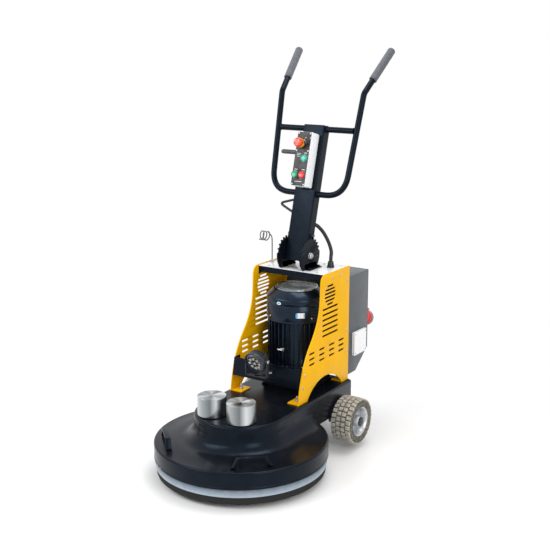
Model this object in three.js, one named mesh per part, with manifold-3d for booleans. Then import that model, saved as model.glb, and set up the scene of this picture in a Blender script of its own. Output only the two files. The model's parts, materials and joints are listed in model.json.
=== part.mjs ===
// Walk-behind floor grinder and polisher: a belt-driven disc under a deck, a leaning mast and two wheels.
// Millimetres, +Z up. Pieces are placed in the machine's frame: the disc's axis is x = y = 0, the floor is
// z = 0, the front faces -Y and the operator stands on the +Y side. The exported group is moved at the end so
// that its origin is the centre of the base of its bounding box.
import * as THREE from "three";
import { mergeVertices } from "three/addons/utils/BufferGeometryUtils.js";
import Module from "manifold-3d";

const wasm = await Module();
wasm.setup();

// ---- Driving dimensions ----
const gap = 0.3; // between pieces that touch or run together

const deck = {
  radius: 350,
  wall: 5,
  rimBottom: 63,
  rimTop: 132,
  rimRound: 8,
  domeEdge: 142, // height where the flare meets the deck's top
  flare: 55,
};
const housing = { halfWidth: 188, top: 244, round: 10, end: 571, tailBottom: 125, shaftHole: 35 };
const skirt = { bottom: 30, wall: 4, lap: 36 };
const brush = { width: 22, top: 58, inset: 6 };
const lift = { reach: 302, angle: 43, foot: 140, top: 108, height: 40, strap: 22, thickness: 5 };

const chassis = { halfWidth: 168, thickness: 10, bottom: 140, end: 556 };
const post = { radius: 12, x: 145, frontY: 194, rearY: 531, behindWeight: -40 };
const spindle = { radius: 15, bottom: 46, top: 224 };
const bearing = { outer: 31, width: 16, lowerZ: 88, upperZ: 120 };
const spindleHousing = { outer: 44, flange: 66, flangeThickness: 9, bottom: 84 };
const disc = { radius: 305, thickness: 14, hub: 48, hubTop: 80 };
const pad = { thickness: 24, bore: 55 };

const motor = { y: 409, body: 108, fin: 123, fins: 22, finThickness: 3.4, bottom: 330, top: 545, wall: 9 };
const adapter = { halfWidth: 104, wall: 8, bore: 60 };
const motorFlange = { radius: 125, thickness: 12 };
const stator = { thickness: 18, bottom: 372, top: 500 };
const rotor = { shaft: 19, bottom: 372, top: 500, shaftBottom: 176, shaftTop: 582, airGap: 0.8 };
const fan = {
  radius: 98,
  bottom: 556,
  backPlate: 3,
  bladeHeight: 34,
  blades: 8,
  bladeThickness: 3,
  hub: 10,
  hubHeight: 20,
};
const cowl = { radius: 127, wall: 2, lap: 6, coneBottom: 636, coneTop: 666, coneRadius: 94 };
const badge = { radius: 91, height: 5 };
const drive = { driven: 100, driver: 55, bottom: 184, width: 32, belt: 8, flange: 4 };

const plates = { outer: 170, thickness: 5, top: 750, front: 158, rear: 559, footTop: housing.top + 6 };
const arch = { y: 366.5, radius: 177, rise: 65 };
const foot = { inward: 50, front: [161, 229], rear: [507, 557], bolt: 5.5, boltInward: 25, thickness: 5 };
const rearFlange = { width: 20, thickness: 5, bottom: 330, top: plates.top - 14 };
const roundVent = { y: 402, z: 657, radius: 46, slots: 6 };
const longVent = { y: 404, z: 546, width: 128, height: 112, slots: 6 };
const rowVent = { y: 262, z: 416, pitch: 78, size: 46, count: 4, slots: 3 };
const slotHeight = 9;
const crossPlate = { top: 388, bottom: 313, topY: 181.6, bottomY: 168, thickness: 4, flange: 40 };
const topFrame = {
  front: 365,
  end: 553,
  top: plates.top - 6,
  thickness: 3,
  lip: 24,
  gusset: 60,
  gussetDrop: 36,
};
const topPlate = { thickness: 3 };

const cabinet = { halfWidth: 160, front: plates.rear + gap, end: 742, top: 696, wall: 2.5 };
const cabinetFoot = { end: 642, bottom: housing.top + 12, sill: 338 };
const mouth = { side: 8, end: 10 }; // the cabinet's rim inside its walls, behind the door
const door = { thickness: 4, aboveSill: 2 };
const doorHinge = { offset: 6, knuckle: 5, pin: 2.5, heights: [410, 620], length: 24 };
const sideBox = { y: [604, 708], z: [336, 440], depth: 16 };
const inlet = {
  x: 118,
  z: 474,
  tilt: 18,
  flange: 36,
  radius: 31,
  length: 62,
  thickness: 6,
  wall: 4,
  core: 23,
  socket: 24,
};
const inletCap = { radius: 34, thickness: 14, lug: 6 };
const flapLug = { half: 8, depth: 14, rise: 9 };
const control = { halfWidth: 105, depth: 92, bottom: 390, top: 640 };

const wheel = { radius: 100, width: 94, y: 470, x: 240, rim: 64, axle: 12.5, hubWidth: 100 };
const axleBracket = { x: 150, thickness: 10, width: 60 };

const lean = 15.3; // degrees that the mast leans back at rest
const pivot = { y: 420.6, z: plates.top + 53.7, bolt: 8, head: 13 };
const quadrant = { radius: 70, tooth: 7, thickness: 6, fromMast: 2, waist: 44, waistDrop: 30 };
const notches = { pitch: 15, count: 14, before: 6, width: 13.4 };
const stem = { span: [387, 484], flange: 26, flangeThickness: 4 };
const mast = { width: 100, depth: 50, wall: 3, below: 28, above: 545 };
const bar = { radius: 12.5, wall: 2, low: 258, cross: 531, bend: 686.5, corner: 95, elbow: 40 };
const barHalf = { low: 178, cross: 192 };
const barTip = [229, 786, pivot.z + 835.3];
const grip = { radius: 17, length: 178, tubeEnd: 26 };
const box = { halfWidth: 34, depth: 62, bottom: 278, top: 503, holeDepth: 30 };
const button = { head: 14, headLength: 9, stem: 8, travel: 4, column: 17.5 };
const stopHead = { radius: 20, length: 20, stem: 11, travel: 5, x: -13, d: 455 };
const selector = { radius: 12, length: 17, x: 19, d: 461, turned: 40 };
const buttonRows = { start: 393, lower: 324 };
const latch = { bar: 6, raised: 9, rod: 3, rodBack: 18, pegRadius: 9.5, pegEnd: 158, pegD: 427, barEnd: 63 };
const hook = { rod: 4, top: 228, bottom: 172, tip: [-130, 206], foot: 20 };
const gland = { x: 113, y: 497, radius: 13, height: 26 };
const conduit = { radius: 8 };
const conduitRoute = [
  [44, 479, 182],
  [50, 497, 171],
  [66, 516, 142],
  [86, 524, 102],
  [103, 517, 68],
  [112, 500, 46],
].map(([x, y, rise]) => [x, y, topFrame.top + rise]);
const guide = { x: -154, y: 452, rod: 2.5, rise: plates.top + 116, coil: 19, turns: 2.6, pitch: 15 };
const lamp = { x: 14, y: 92, z: 430, radius: 47, length: 42, tilt: 24, fins: 7, finPitch: 10, yoke: 4 };
const weight = { radius: 58, height: 79, x: 70.6, y: -97.6 };

// ---- Colours and finishes ----
const blackPaint = { color: "#1a1c20", roughness: 0.4, metalness: 0.3 };
const blackShell = { color: "#1c2027", roughness: 0.32, metalness: 0 };
const yellowPaint = { color: "#f5b31a", roughness: 0.4, metalness: 0.2 };
const greyPaint = { color: "#6b6f73", roughness: 0.45, metalness: 0.3 };
const palePaint = { color: "#d9dcde", roughness: 0.35, metalness: 0.2 };
const steel = { color: "#b9bdc0", roughness: 0.3, metalness: 1 };
const darkSteel = { color: "#54585c", roughness: 0.45, metalness: 1 };
const castAluminium = { color: "#9da1a4", roughness: 0.5, metalness: 1 };
const greyRubber = { color: "#6f7f92", roughness: 0.5, metalness: 0 };
const blackRubber = { color: "#202020", roughness: 0.85, metalness: 0 };
const tyreRubber = { color: "#9b9482", roughness: 0.9, metalness: 0 };
const gripFoam = { color: "#4a4d52", roughness: 0.85, metalness: 0 };
const whitePlastic = { color: "#e6e7e9", roughness: 0.45, metalness: 0 };
const greyPlastic = { color: "#7d878c", roughness: 0.5, metalness: 0 };
const redPlastic = { color: "#d8231c", roughness: 0.35, metalness: 0 };
const greenPlastic = { color: "#1c9a6a", roughness: 0.35, metalness: 0 };
const blackPlastic = { color: "#16171a", roughness: 0.45, metalness: 0 };
const copperWinding = { color: "#a55a2a", roughness: 0.5, metalness: 0.6 };

// ---- Shape helpers ----
const rad = THREE.MathUtils.degToRad;
const xyz = (x, y, z) => new THREE.Vector3(x, y, z);

// The same surface with its shared corners merged, and nothing but positions.
function welded(geometry) {
  const bare = new THREE.BufferGeometry().setAttribute("position", geometry.getAttribute("position"));
  if (geometry.index) bare.setIndex(geometry.index);
  return mergeVertices(bare, 1e-3);
}

function toSolid(geometry) {
  const merged = welded(geometry);
  return new wasm.Manifold(
    new wasm.Mesh({
      numProp: 3,
      vertProperties: merged.attributes.position.array,
      triVerts: new Uint32Array(merged.index.array),
    }),
  );
}

function toGeometry(solid) {
  const { vertProperties, triVerts } = solid.getMesh();
  return new THREE.BufferGeometry()
    .setAttribute("position", new THREE.BufferAttribute(vertProperties, 3))
    .setIndex(new THREE.BufferAttribute(triVerts, 1));
}

const joined = (...pieces) => toGeometry(pieces.map(toSolid).reduce((all, next) => all.add(next)));
const cut = (body, ...tools) =>
  toGeometry(tools.map(toSolid).reduce((left, tool) => left.subtract(tool), toSolid(body)));
const common = (a, b) => toGeometry(toSolid(a).intersect(toSolid(b)));

// Facets round a turned piece, by how large it is.
const fine = 40;
const medium = 24;
const coarse = 16;

// Turned about Z from [radius, z] points that start and end on the axis, or close on themselves.
function turned(profile, sides = medium) {
  const points = profile.map(([r, z]) => new THREE.Vector2(r, z));
  if (THREE.ShapeUtils.area(points) < 0) points.reverse();
  const throughAxis = points[0].x === 0 && points.at(-1).x === 0;
  if (!throughAxis) points.push(points[0].clone());
  return new THREE.LatheGeometry(points, sides).rotateX(Math.PI / 2);
}

const cylinder = (radius, z0, z1, sides = coarse) =>
  turned([[0, z0], [radius, z0], [radius, z1], [0, z1]], sides);
const ring = (outer, inner, z0, z1, sides = medium) =>
  turned([[inner, z0], [outer, z0], [outer, z1], [inner, z1]], sides);

function block([x0, x1], [y0, y1], [z0, z1]) {
  const made = new THREE.BoxGeometry(x1 - x0, y1 - y0, z1 - z0);
  return made.translate((x0 + x1) / 2, (y0 + y1) / 2, (z0 + z1) / 2);
}

// A round rod between two points.
function rod(radius, from, to, sides = 16) {
  const along = to.clone().sub(from);
  const turn = new THREE.Quaternion().setFromUnitVectors(xyz(0, 1, 0), along.clone().normalize());
  const middle = from.clone().lerp(to, 0.5);
  return new THREE.CylinderGeometry(radius, radius, along.length(), sides)
    .applyQuaternion(turn)
    .translate(middle.x, middle.y, middle.z);
}

function extruded(shape, depth, curveSegments = 8) {
  return new THREE.ExtrudeGeometry(shape, { depth, bevelEnabled: false, curveSegments });
}

// A flat shape drawn in (y, z) and extruded from x0 to x1.
function acrossX(shape, x0, x1, curveSegments) {
  const turn = new THREE.Matrix4().makeBasis(xyz(0, 1, 0), xyz(0, 0, 1), xyz(1, 0, 0));
  return extruded(shape, x1 - x0, curveSegments).applyMatrix4(turn).translate(x0, 0, 0);
}

const shapeOf = (points) => new THREE.Shape(points.map(([a, b]) => new THREE.Vector2(a, b)));

// The points of a drawn outline, without those that fall on the one before or on the first.
function outlinePoints(path, divisions) {
  const points = path.getPoints(divisions);
  return points.filter((point, i) => point.distanceTo(points.at(i - 1)) > 1e-3);
}

// Closed skin over a stack of convex outlines that all have the same number of points, lowest first.
function lofted(outlines) {
  const count = outlines[0].length;
  const last = outlines.length - 1;
  const faces = [];
  for (let i = 1; i < count - 1; i++) {
    faces.push(0, i + 1, i);
    faces.push(last * count, last * count + i, last * count + i + 1);
  }
  for (let level = 0; level < last; level++) {
    for (let i = 0; i < count; i++) {
      const a = level * count + i;
      const b = level * count + ((i + 1) % count);
      faces.push(a, b, b + count, a, b + count, a + count);
    }
  }
  return new THREE.BufferGeometry()
    .setAttribute("position", new THREE.Float32BufferAttribute(outlines.flat(2), 3))
    .setIndex(faces);
}

// A route that an extrusion follows station by station, so that straight runs take no needless steps.
class Route extends THREE.Curve {
  constructor(stations) {
    super();
    this.stations = stations;
  }
  station(u) {
    return this.stations[Math.round(u * (this.stations.length - 1))];
  }
  getPointAt(u, target = xyz(0, 0, 0)) {
    return target.copy(this.station(u).point);
  }
  getTangentAt(u, target = xyz(0, 0, 0)) {
    return target.copy(this.station(u).tangent);
  }
}

const stationOn = (curve, t) => ({ point: curve.getPoint(t), tangent: curve.getTangent(t) });

// Straight runs with rounded corners.
function roundedRoute(points, corner, steps = 6) {
  const stations = [stationOn(new THREE.LineCurve3(points[0], points[1]), 0)];
  for (let i = 1; i < points.length - 1; i++) {
    const toward = points[i - 1].clone().sub(points[i]).normalize();
    const away = points[i + 1].clone().sub(points[i]).normalize();
    const radius = Array.isArray(corner) ? corner[i - 1] : corner;
    const trim = radius / Math.tan(toward.angleTo(away) / 2);
    const before = points[i].clone().addScaledVector(toward, trim);
    const after = points[i].clone().addScaledVector(away, trim);
    const bend = new THREE.QuadraticBezierCurve3(before, points[i], after);
    for (let step = 0; step <= steps; step++) stations.push(stationOn(bend, step / steps));
  }
  stations.push(stationOn(new THREE.LineCurve3(points.at(-2), points.at(-1)), 1));
  return new Route(stations);
}

// A smooth curve through the points.
function smoothRoute(points, stepsEach) {
  const curve = new THREE.CatmullRomCurve3(points);
  const count = (points.length - 1) * stepsEach;
  return new Route(Array.from({ length: count + 1 }, (_, i) => stationOn(curve, i / count)));
}

// A round tube along a route; a bore of zero makes it solid.
function tube(route, radius, bore, sides) {
  const section = new THREE.Shape().absarc(0, 0, radius, 0, 2 * Math.PI);
  if (bore > 0) section.holes.push(new THREE.Path().absarc(0, 0, bore, 0, 2 * Math.PI, true));
  const steps = route.stations.length - 1;
  const settings = { steps, extrudePath: route, bevelEnabled: false, curveSegments: sides / 2 };
  return new THREE.ExtrudeGeometry(section, settings);
}

function part(name, geometry, look) {
  const mesh = new THREE.Mesh(geometry, new THREE.MeshStandardMaterial(look));
  mesh.name = name;
  return mesh;
}

function group(name, [x, y, z], ...meshes) {
  const made = new THREE.Group().add(...meshes);
  made.name = name;
  made.position.set(x, y, z);
  return made;
}

// ---- Deck ----
// One level of the belt housing's outline: a half circle about the disc's axis and a straight tail.
function housingOutline(halfWidth, z, end) {
  const outline = [];
  const steps = fine / 2;
  for (let i = 0; i <= steps; i++) {
    const angle = Math.PI + (Math.PI * i) / steps;
    outline.push([halfWidth * Math.cos(angle), halfWidth * Math.sin(angle), z]);
  }
  outline.push([halfWidth, end, z], [-halfWidth, end, z]);
  return outline;
}

// Half widths and heights of the housing's side, from its rounded top down or out over the deck.
function housingLevels(inset, flared) {
  const levels = [];
  const round = housing.round - inset;
  for (let step = 3; step >= 0; step--) {
    const angle = (step * Math.PI) / 6;
    const halfWidth = housing.halfWidth - housing.round + round * Math.cos(angle);
    levels.push([halfWidth, housing.top - housing.round + round * Math.sin(angle)]);
  }
  if (!flared) {
    levels.push([housing.halfWidth - inset, housing.tailBottom - (inset > 0 ? 1 : 0)]);
    return levels.reverse();
  }
  const flare = deck.flare + inset;
  for (let step = 0; step <= 5; step++) {
    const angle = (step * Math.PI) / 10;
    const halfWidth = housing.halfWidth + deck.flare - flare * Math.cos(angle);
    levels.push([halfWidth, deck.domeEdge + deck.flare - flare * Math.sin(angle)]);
  }
  const edge = deck.radius - deck.rimRound;
  levels.push([edge, deck.rimTop - inset], [edge, deck.rimTop - deck.rimRound]);
  return levels.reverse();
}

function housingBody(inset, flared) {
  const outlines = housingLevels(inset, flared).map(([halfWidth, z]) => {
    const end = housing.end - Math.max(inset, housing.halfWidth - halfWidth);
    return housingOutline(halfWidth, z, end);
  });
  return lofted(outlines);
}

function rimBody(inset, bottom) {
  const radius = deck.radius - inset;
  const round = deck.rimRound - inset;
  const profile = [[0, bottom], [radius, bottom]];
  for (let step = 0; step <= 3; step++) {
    const angle = (step * Math.PI) / 6;
    profile.push([
      deck.radius - deck.rimRound + round * Math.cos(angle),
      deck.rimTop - deck.rimRound + round * Math.sin(angle),
    ]);
  }
  profile.push([0, deck.rimTop - inset]);
  return turned(profile, fine);
}

function deckBody(inset) {
  const within = cylinder(deck.radius - deck.rimRound + 1 - inset, 0, housing.top + 1, fine);
  const bottom = inset > 0 ? deck.rimBottom - 1 : deck.rimBottom;
  return joined(rimBody(inset, bottom), common(housingBody(inset, true), within), housingBody(inset, false));
}

function deckShell() {
  const shaftHole = cylinder(housing.shaftHole, housing.top - 20, housing.top + 20).translate(0, motor.y, 0);
  return part("deck_shell", cut(deckBody(0), deckBody(deck.wall), shaftHole), blackShell);
}

function skirtBand() {
  const outer = deck.radius - deck.wall - gap;
  const band = ring(outer, outer - skirt.wall, skirt.bottom, deck.rimBottom + skirt.lap, fine);
  return part("skirt_band", band, greyRubber);
}

function brushRing() {
  const outer = deck.radius - deck.wall - gap - skirt.wall - gap;
  const profile = [
    [outer - brush.width, 0],
    [outer - brush.inset / 2, 0],
    [outer, brush.inset],
    [outer, brush.top],
    [outer - brush.width, brush.top],
  ];
  return part("brush_ring", turned(profile, fine), blackRubber);
}

// Height of the deck's top at a distance from the disc's axis, outside the flare.
function deckTopAt(radius) {
  const start = housing.halfWidth + deck.flare;
  const share = (radius - start) / (deck.radius - deck.rimRound - start);
  return deck.domeEdge + (deck.rimTop - deck.domeEdge) * share;
}

// A strap handle near the deck's edge, its feet resting on the deck's top.
function liftHandle(name, side) {
  const half = lift.foot / 2;
  const rest = deckTopAt(Math.hypot(lift.reach - lift.strap / 2, half - 5));
  const topHalf = lift.top / 2;
  const t = lift.thickness;
  const outline = shapeOf([
    [-half - 10, 0], [-half + t, 0], [-topHalf + t, lift.height - t], [topHalf - t, lift.height - t],
    [half - t, 0], [half + 10, 0], [half + 10, t], [half + t / 2, t], [topHalf + t / 2, lift.height],
    [-topHalf - t / 2, lift.height], [-half - t / 2, t], [-half - 10, t],
  ]);
  const strap = extruded(outline, lift.strap).rotateX(Math.PI / 2).translate(0, lift.strap / 2, 0);
  const mesh = part(name, strap, blackPaint);
  const angle = rad(side * lift.angle);
  mesh.rotation.z = angle;
  mesh.position.set(lift.reach * Math.sin(angle), -lift.reach * Math.cos(angle), rest + gap);
  return mesh;
}

// ---- Chassis and disc drive, inside the deck ----
function basePlate() {
  const outline = housingOutline(chassis.halfWidth, 0, chassis.end).map(([x, y]) => [x, y]);
  const plate = extruded(shapeOf(outline), chassis.thickness).translate(0, 0, chassis.bottom);
  const top = chassis.bottom + chassis.thickness;
  const postTop = housing.top - deck.wall - gap;
  const spots = [-1, 1].flatMap((side) => [
    [side * post.x, post.frontY],
    [side * post.x, post.rearY],
    [side * weight.x, weight.y + post.behindWeight],
  ]);
  const posts = spots.map(([x, y]) => cylinder(post.radius, top - 1, postTop).translate(x, y, 0));
  const bore = cylinder(spindleHousing.outer - 12, chassis.bottom - 1, top + 1, coarse);
  return part("base_plate", cut(joined(plate, ...posts), bore), darkSteel);
}

function discDrive() {
  const housingTop = chassis.bottom - gap;
  const bearingBore = bearing.outer + gap;
  const shaftBore = spindle.radius + gap;
  const body = turned([
    [bearingBore, spindleHousing.bottom],
    [spindleHousing.outer, spindleHousing.bottom],
    [spindleHousing.outer, housingTop - spindleHousing.flangeThickness],
    [spindleHousing.flange, housingTop - spindleHousing.flangeThickness],
    [spindleHousing.flange, housingTop],
    [bearingBore, housingTop],
  ]);
  const race = (z) => ring(bearing.outer, shaftBore, z, z + bearing.width, medium);
  return [
    part("spindle_housing", body, castAluminium),
    part("bearing_lower", race(bearing.lowerZ), steel),
    part("bearing_upper", race(bearing.upperZ), steel),
  ];
}

function pulley(radius, bore) {
  const top = drive.bottom + drive.width;
  return turned([
    [bore, drive.bottom],
    [radius + drive.flange, drive.bottom],
    [radius + drive.flange, drive.bottom + drive.flange - 1],
    [radius, drive.bottom + drive.flange],
    [radius, top - drive.flange],
    [radius + drive.flange, top - drive.flange + 1],
    [radius + drive.flange, top],
    [bore, top],
  ]);
}

// The loop of a belt about both pulleys, outside it by some distance.
function beltOutline(offset) {
  const big = drive.driven + offset;
  const small = drive.driver + offset;
  const tilt = Math.asin((big - small) / motor.y);
  const outline = new THREE.Shape();
  outline.absarc(0, 0, big, Math.PI - tilt, 2 * Math.PI + tilt, false);
  outline.absarc(0, motor.y, small, tilt, Math.PI - tilt, false);
  return outline;
}

function belt() {
  const loop = new THREE.Shape(outlinePoints(beltOutline(gap + drive.belt), 16));
  loop.holes.push(new THREE.Path(outlinePoints(beltOutline(gap), 16)));
  const width = drive.width - 2 * drive.flange - 2 * gap;
  const made = extruded(loop, width, 16).translate(0, 0, drive.bottom + drive.flange + gap);
  return part("belt", made, blackRubber);
}

function spindleGroup() {
  const discBottom = pad.thickness + gap;
  const discTop = discBottom + disc.thickness;
  const shaft = cylinder(spindle.radius, spindle.bottom, spindle.top, coarse);
  const backing = turned([
    [spindle.radius + gap, discBottom],
    [disc.radius, discBottom],
    [disc.radius, discTop],
    [disc.hub, discTop],
    [disc.hub, disc.hubTop],
    [spindle.radius + gap, disc.hubTop],
  ], fine);
  return group(
    "disc_spin",
    [0, 0, 0],
    part("spindle", shaft, steel),
    part("driven_pulley", pulley(drive.driven, spindle.radius + gap), castAluminium),
    part("driver_disc", backing, castAluminium),
    part("polishing_pad", ring(disc.radius, pad.bore, 0, pad.thickness, fine), blackRubber),
  );
}

// ---- Motor ----
function motorAdapter() {
  const bottom = housing.top + gap;
  const top = motor.bottom - gap;
  const half = adapter.halfWidth;
  const inner = half - adapter.wall;
  const outerBox = block([-half, half], [-half, half], [bottom, top]);
  const hollow = block([-inner, inner], [-inner, inner], [bottom - 1, top - adapter.wall]);
  const made = cut(outerBox, hollow, cylinder(adapter.bore, top - 20, top + 1, medium));
  return part("motor_adapter", made.translate(0, motor.y, 0), blackPaint);
}

function motorFrame() {
  const bore = motor.body - motor.wall;
  const shaftBore = rotor.shaft + gap;
  const seat = cowl.radius - cowl.wall - gap;
  const body = turned([
    [shaftBore, motor.bottom],
    [motorFlange.radius, motor.bottom],
    [motorFlange.radius, motor.bottom + motorFlange.thickness],
    [motor.body, motor.bottom + motorFlange.thickness + 2],
    [motor.body, motor.top - 12],
    [seat, motor.top - 10],
    [seat, motor.top + cowl.lap],
    [shaftBore, motor.top + cowl.lap],
    [shaftBore, motor.top - 8],
    [bore, motor.top - 12],
    [bore, motor.bottom + motorFlange.thickness + 2],
    [shaftBore + 20, motor.bottom + motorFlange.thickness],
    [shaftBore, motor.bottom + motorFlange.thickness],
  ]);
  const fins = [];
  for (let i = 0; i < motor.fins; i++) {
    const half = motor.finThickness / 2;
    const fin = block([motor.body - 4, motor.fin], [-half, half], [motor.bottom + 8, motor.top - 8]);
    fins.push(fin.rotateZ((2 * Math.PI * i) / motor.fins));
  }
  return part("motor_frame", joined(body, ...fins).translate(0, motor.y, 0), blackPaint);
}

function statorRing() {
  const outer = motor.body - motor.wall - gap;
  return part(
    "stator",
    ring(outer, outer - stator.thickness, stator.bottom, stator.top).translate(0, motor.y, 0),
    copperWinding,
  );
}

function rotorGroup() {
  const core = motor.body - motor.wall - gap - stator.thickness - rotor.airGap;
  const shaftWithCore = turned([
    [0, rotor.shaftBottom],
    [rotor.shaft, rotor.shaftBottom],
    [rotor.shaft, rotor.bottom],
    [core, rotor.bottom],
    [core, rotor.top],
    [rotor.shaft, rotor.top],
    [rotor.shaft, rotor.shaftTop],
    [0, rotor.shaftTop],
  ]);
  const hubBore = rotor.shaft + gap;
  const hub = ring(hubBore + fan.hub, hubBore, fan.bottom, fan.bottom + fan.hubHeight);
  const plate = ring(fan.radius, hubBore + fan.hub / 2, fan.bottom, fan.bottom + fan.backPlate);
  const blades = [];
  for (let i = 0; i < fan.blades; i++) {
    const half = fan.bladeThickness / 2;
    const reach = [hubBore + fan.hub / 2, fan.radius - 2];
    const blade = block(reach, [-half, half], [fan.bottom + 1, fan.bottom + fan.bladeHeight]);
    blades.push(blade.rotateZ((2 * Math.PI * i) / fan.blades));
  }
  return group(
    "motor_spin",
    [0, motor.y, 0],
    part("rotor", shaftWithCore, steel),
    part("cooling_fan", joined(hub, plate, ...blades), blackPlastic),
    part("motor_pulley", pulley(drive.driver, rotor.shaft + gap), castAluminium),
  );
}

function fanCowl() {
  const top = cowl.coneTop;
  const profile = [
    [cowl.radius - cowl.wall, motor.top],
    [cowl.radius, motor.top],
    [cowl.radius, cowl.coneBottom],
    [cowl.coneRadius, top],
    [badge.radius, top],
    [badge.radius, top + badge.height],
    [0, top + badge.height],
    [0, top - cowl.wall],
    [cowl.coneRadius - 1, top - cowl.wall],
    [cowl.radius - cowl.wall, cowl.coneBottom - 1],
  ];
  return part("fan_cowl", turned(rollToAxis(profile), medium).translate(0, motor.y, 0), blackPaint);
}

// ---- Frame ----
// The cutter for one level slot with round ends, through a side plate.
function slotCutter(y, z, length) {
  const r = slotHeight / 2;
  const reach = length / 2 - r;
  const slot = new THREE.Shape();
  slot.absarc(y + reach, z, r, -Math.PI / 2, Math.PI / 2, false);
  slot.absarc(y - reach, z, r, Math.PI / 2, (3 * Math.PI) / 2, false);
  const outline = new THREE.Shape(outlinePoints(slot, 1));
  return acrossX(outline, plates.outer - plates.thickness - 1, plates.outer + 1);
}

// Plain ventilation slots: a round group, an oblong group and a row of small square groups.
function ventSlots() {
  const slots = [];
  const pitch = (2 * roundVent.radius) / roundVent.slots;
  for (let i = 0; i < roundVent.slots; i++) {
    const rise = (i - (roundVent.slots - 1) / 2) * pitch;
    const length = 2 * Math.sqrt(roundVent.radius ** 2 - rise ** 2);
    slots.push(slotCutter(roundVent.y, roundVent.z + rise, length));
  }
  for (let i = 0; i < longVent.slots; i++) {
    const rise = (i / (longVent.slots - 1) - 0.5) * longVent.height;
    slots.push(slotCutter(longVent.y, longVent.z + rise, longVent.width));
  }
  for (let i = 0; i < rowVent.count; i++) {
    for (let j = 0; j < rowVent.slots; j++) {
      const rise = (j / (rowVent.slots - 1) - 0.5) * rowVent.size;
      slots.push(slotCutter(rowVent.y + i * rowVent.pitch, rowVent.z + rise, rowVent.size));
    }
  }
  return slots;
}

function sidePlateOutline() {
  const base = housing.top + gap;
  const archHalf = Math.sqrt(arch.radius ** 2 - (arch.radius - arch.rise) ** 2);
  const archStart = Math.asin((arch.radius - arch.rise) / arch.radius);
  const centreZ = plates.footTop + arch.rise - arch.radius;
  const { front, rear, top } = plates;
  const outline = new THREE.Shape();
  outline.moveTo(front, base);
  outline.bezierCurveTo(front + 10, base + 80, front + 34, base + 170, front + 90, base + 233);
  outline.bezierCurveTo(front + 146, base + 300, front + 164, base + 350, front + 167, base + 424);
  outline.lineTo(front + 169, top - 38);
  outline.quadraticCurveTo(front + 171, top - 2, front + 202, top);
  outline.lineTo(rear, top);
  outline.lineTo(rear, base);
  outline.lineTo(arch.y + archHalf, base);
  outline.lineTo(arch.y + archHalf, plates.footTop);
  outline.absarc(arch.y, centreZ, arch.radius, archStart, Math.PI - archStart, false);
  outline.lineTo(arch.y - archHalf, base);
  return new THREE.Shape(outlinePoints(outline, 8));
}

function sidePlate(name, side) {
  const inner = plates.outer - plates.thickness;
  const web = cut(acrossX(sidePlateOutline(), inner, plates.outer), ...ventSlots());
  const base = housing.top + gap;
  const feet = [foot.front, foot.rear].map(([start, end]) => {
    const flange = block([inner - foot.inward, inner + 1], [start, end], [base, base + foot.thickness]);
    const bolt = cylinder(foot.bolt, base - 1, base + foot.thickness + 1);
    return cut(flange, bolt.translate(inner - foot.boltInward, (start + end) / 2, 0));
  });
  const { width, thickness, bottom, top } = rearFlange;
  const fold = block([inner - width, inner + 1], [plates.rear - thickness, plates.rear], [bottom, top]);
  const made = joined(web, fold, ...feet);
  if (side < 0) made.scale(-1, 1, 1);
  return part(name, side < 0 ? flipped(made) : made, yellowPaint);
}

// Turns each face round, for a geometry that has been mirrored.
function flipped(geometry) {
  const index = geometry.index.array.slice();
  for (let i = 0; i < index.length; i += 3) [index[i + 1], index[i + 2]] = [index[i + 2], index[i + 1]];
  return geometry.setIndex(new THREE.BufferAttribute(index, 1));
}

function crossPlatePiece() {
  const half = plates.outer - plates.thickness - gap;
  const { top, bottom, topY, bottomY, thickness, flange } = crossPlate;
  const sheet = shapeOf([
    [bottomY, bottom],
    [bottomY + thickness, bottom],
    [topY + thickness, top],
    [topY, top],
  ]);
  const side = shapeOf([[bottomY, bottom], [bottomY + flange, bottom], [topY + flange, top], [topY, top]]);
  const flanges = [acrossX(side, -half, -half + thickness), acrossX(side, half - thickness, half)];
  return part("front_cross_plate", joined(acrossX(sheet, -half, half), ...flanges), blackPaint);
}

function topPieces() {
  const half = plates.outer - plates.thickness - gap;
  const { front, end, top, thickness, lip, gusset, gussetDrop } = topFrame;
  const low = top - lip;
  const deckSheet = block([-half, half], [front, end], [top - thickness, top]);
  const frontLip = block([-half, half], [front, front + thickness], [low, top]);
  const sides = [-1, 1].map((s) => {
    const edges = [s * half, s * (half - thickness)].sort((a, b) => a - b);
    return block(edges, [front, end], [low, top]);
  });
  const gussets = [-1, 1].map((s) => {
    const corner = shapeOf([[s * half, top], [s * half, top - gussetDrop], [s * (half - gusset), top]]);
    return extruded(corner, thickness).rotateX(Math.PI / 2).translate(0, front + thickness, 0);
  });
  const sheet = block([-half, half], [front, end], [top + gap, top + gap + topPlate.thickness]);
  return [
    part("top_frame", joined(deckSheet, frontLip, ...sides, ...gussets), blackPaint),
    part("top_plate", sheet, palePaint),
  ];
}

// ---- Cabinet ----
function cabinetOutline(inset) {
  const { front, end, top } = cabinet;
  return shapeOf([
    [front + inset, cabinetFoot.bottom + inset],
    [cabinetFoot.end - inset / 2, cabinetFoot.bottom + inset],
    [end - inset, cabinetFoot.sill + inset / 2],
    [end - inset, top - inset],
    [front + inset, top - inset],
  ]);
}

const hingePlace = [-cabinet.halfWidth - doorHinge.offset, cabinet.end + door.thickness / 2 + gap];

// One half of each door hinge: a knuckle on a leaf that laps onto the piece it carries.
function hingeHalf(z0, z1, leafY, leafX) {
  const [x, y] = hingePlace;
  const knuckle = cylinder(doorHinge.knuckle, z0, z1, 16).translate(x, y, 0);
  return joined(knuckle, block([x, leafX], leafY, [z0, z1]));
}

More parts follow.
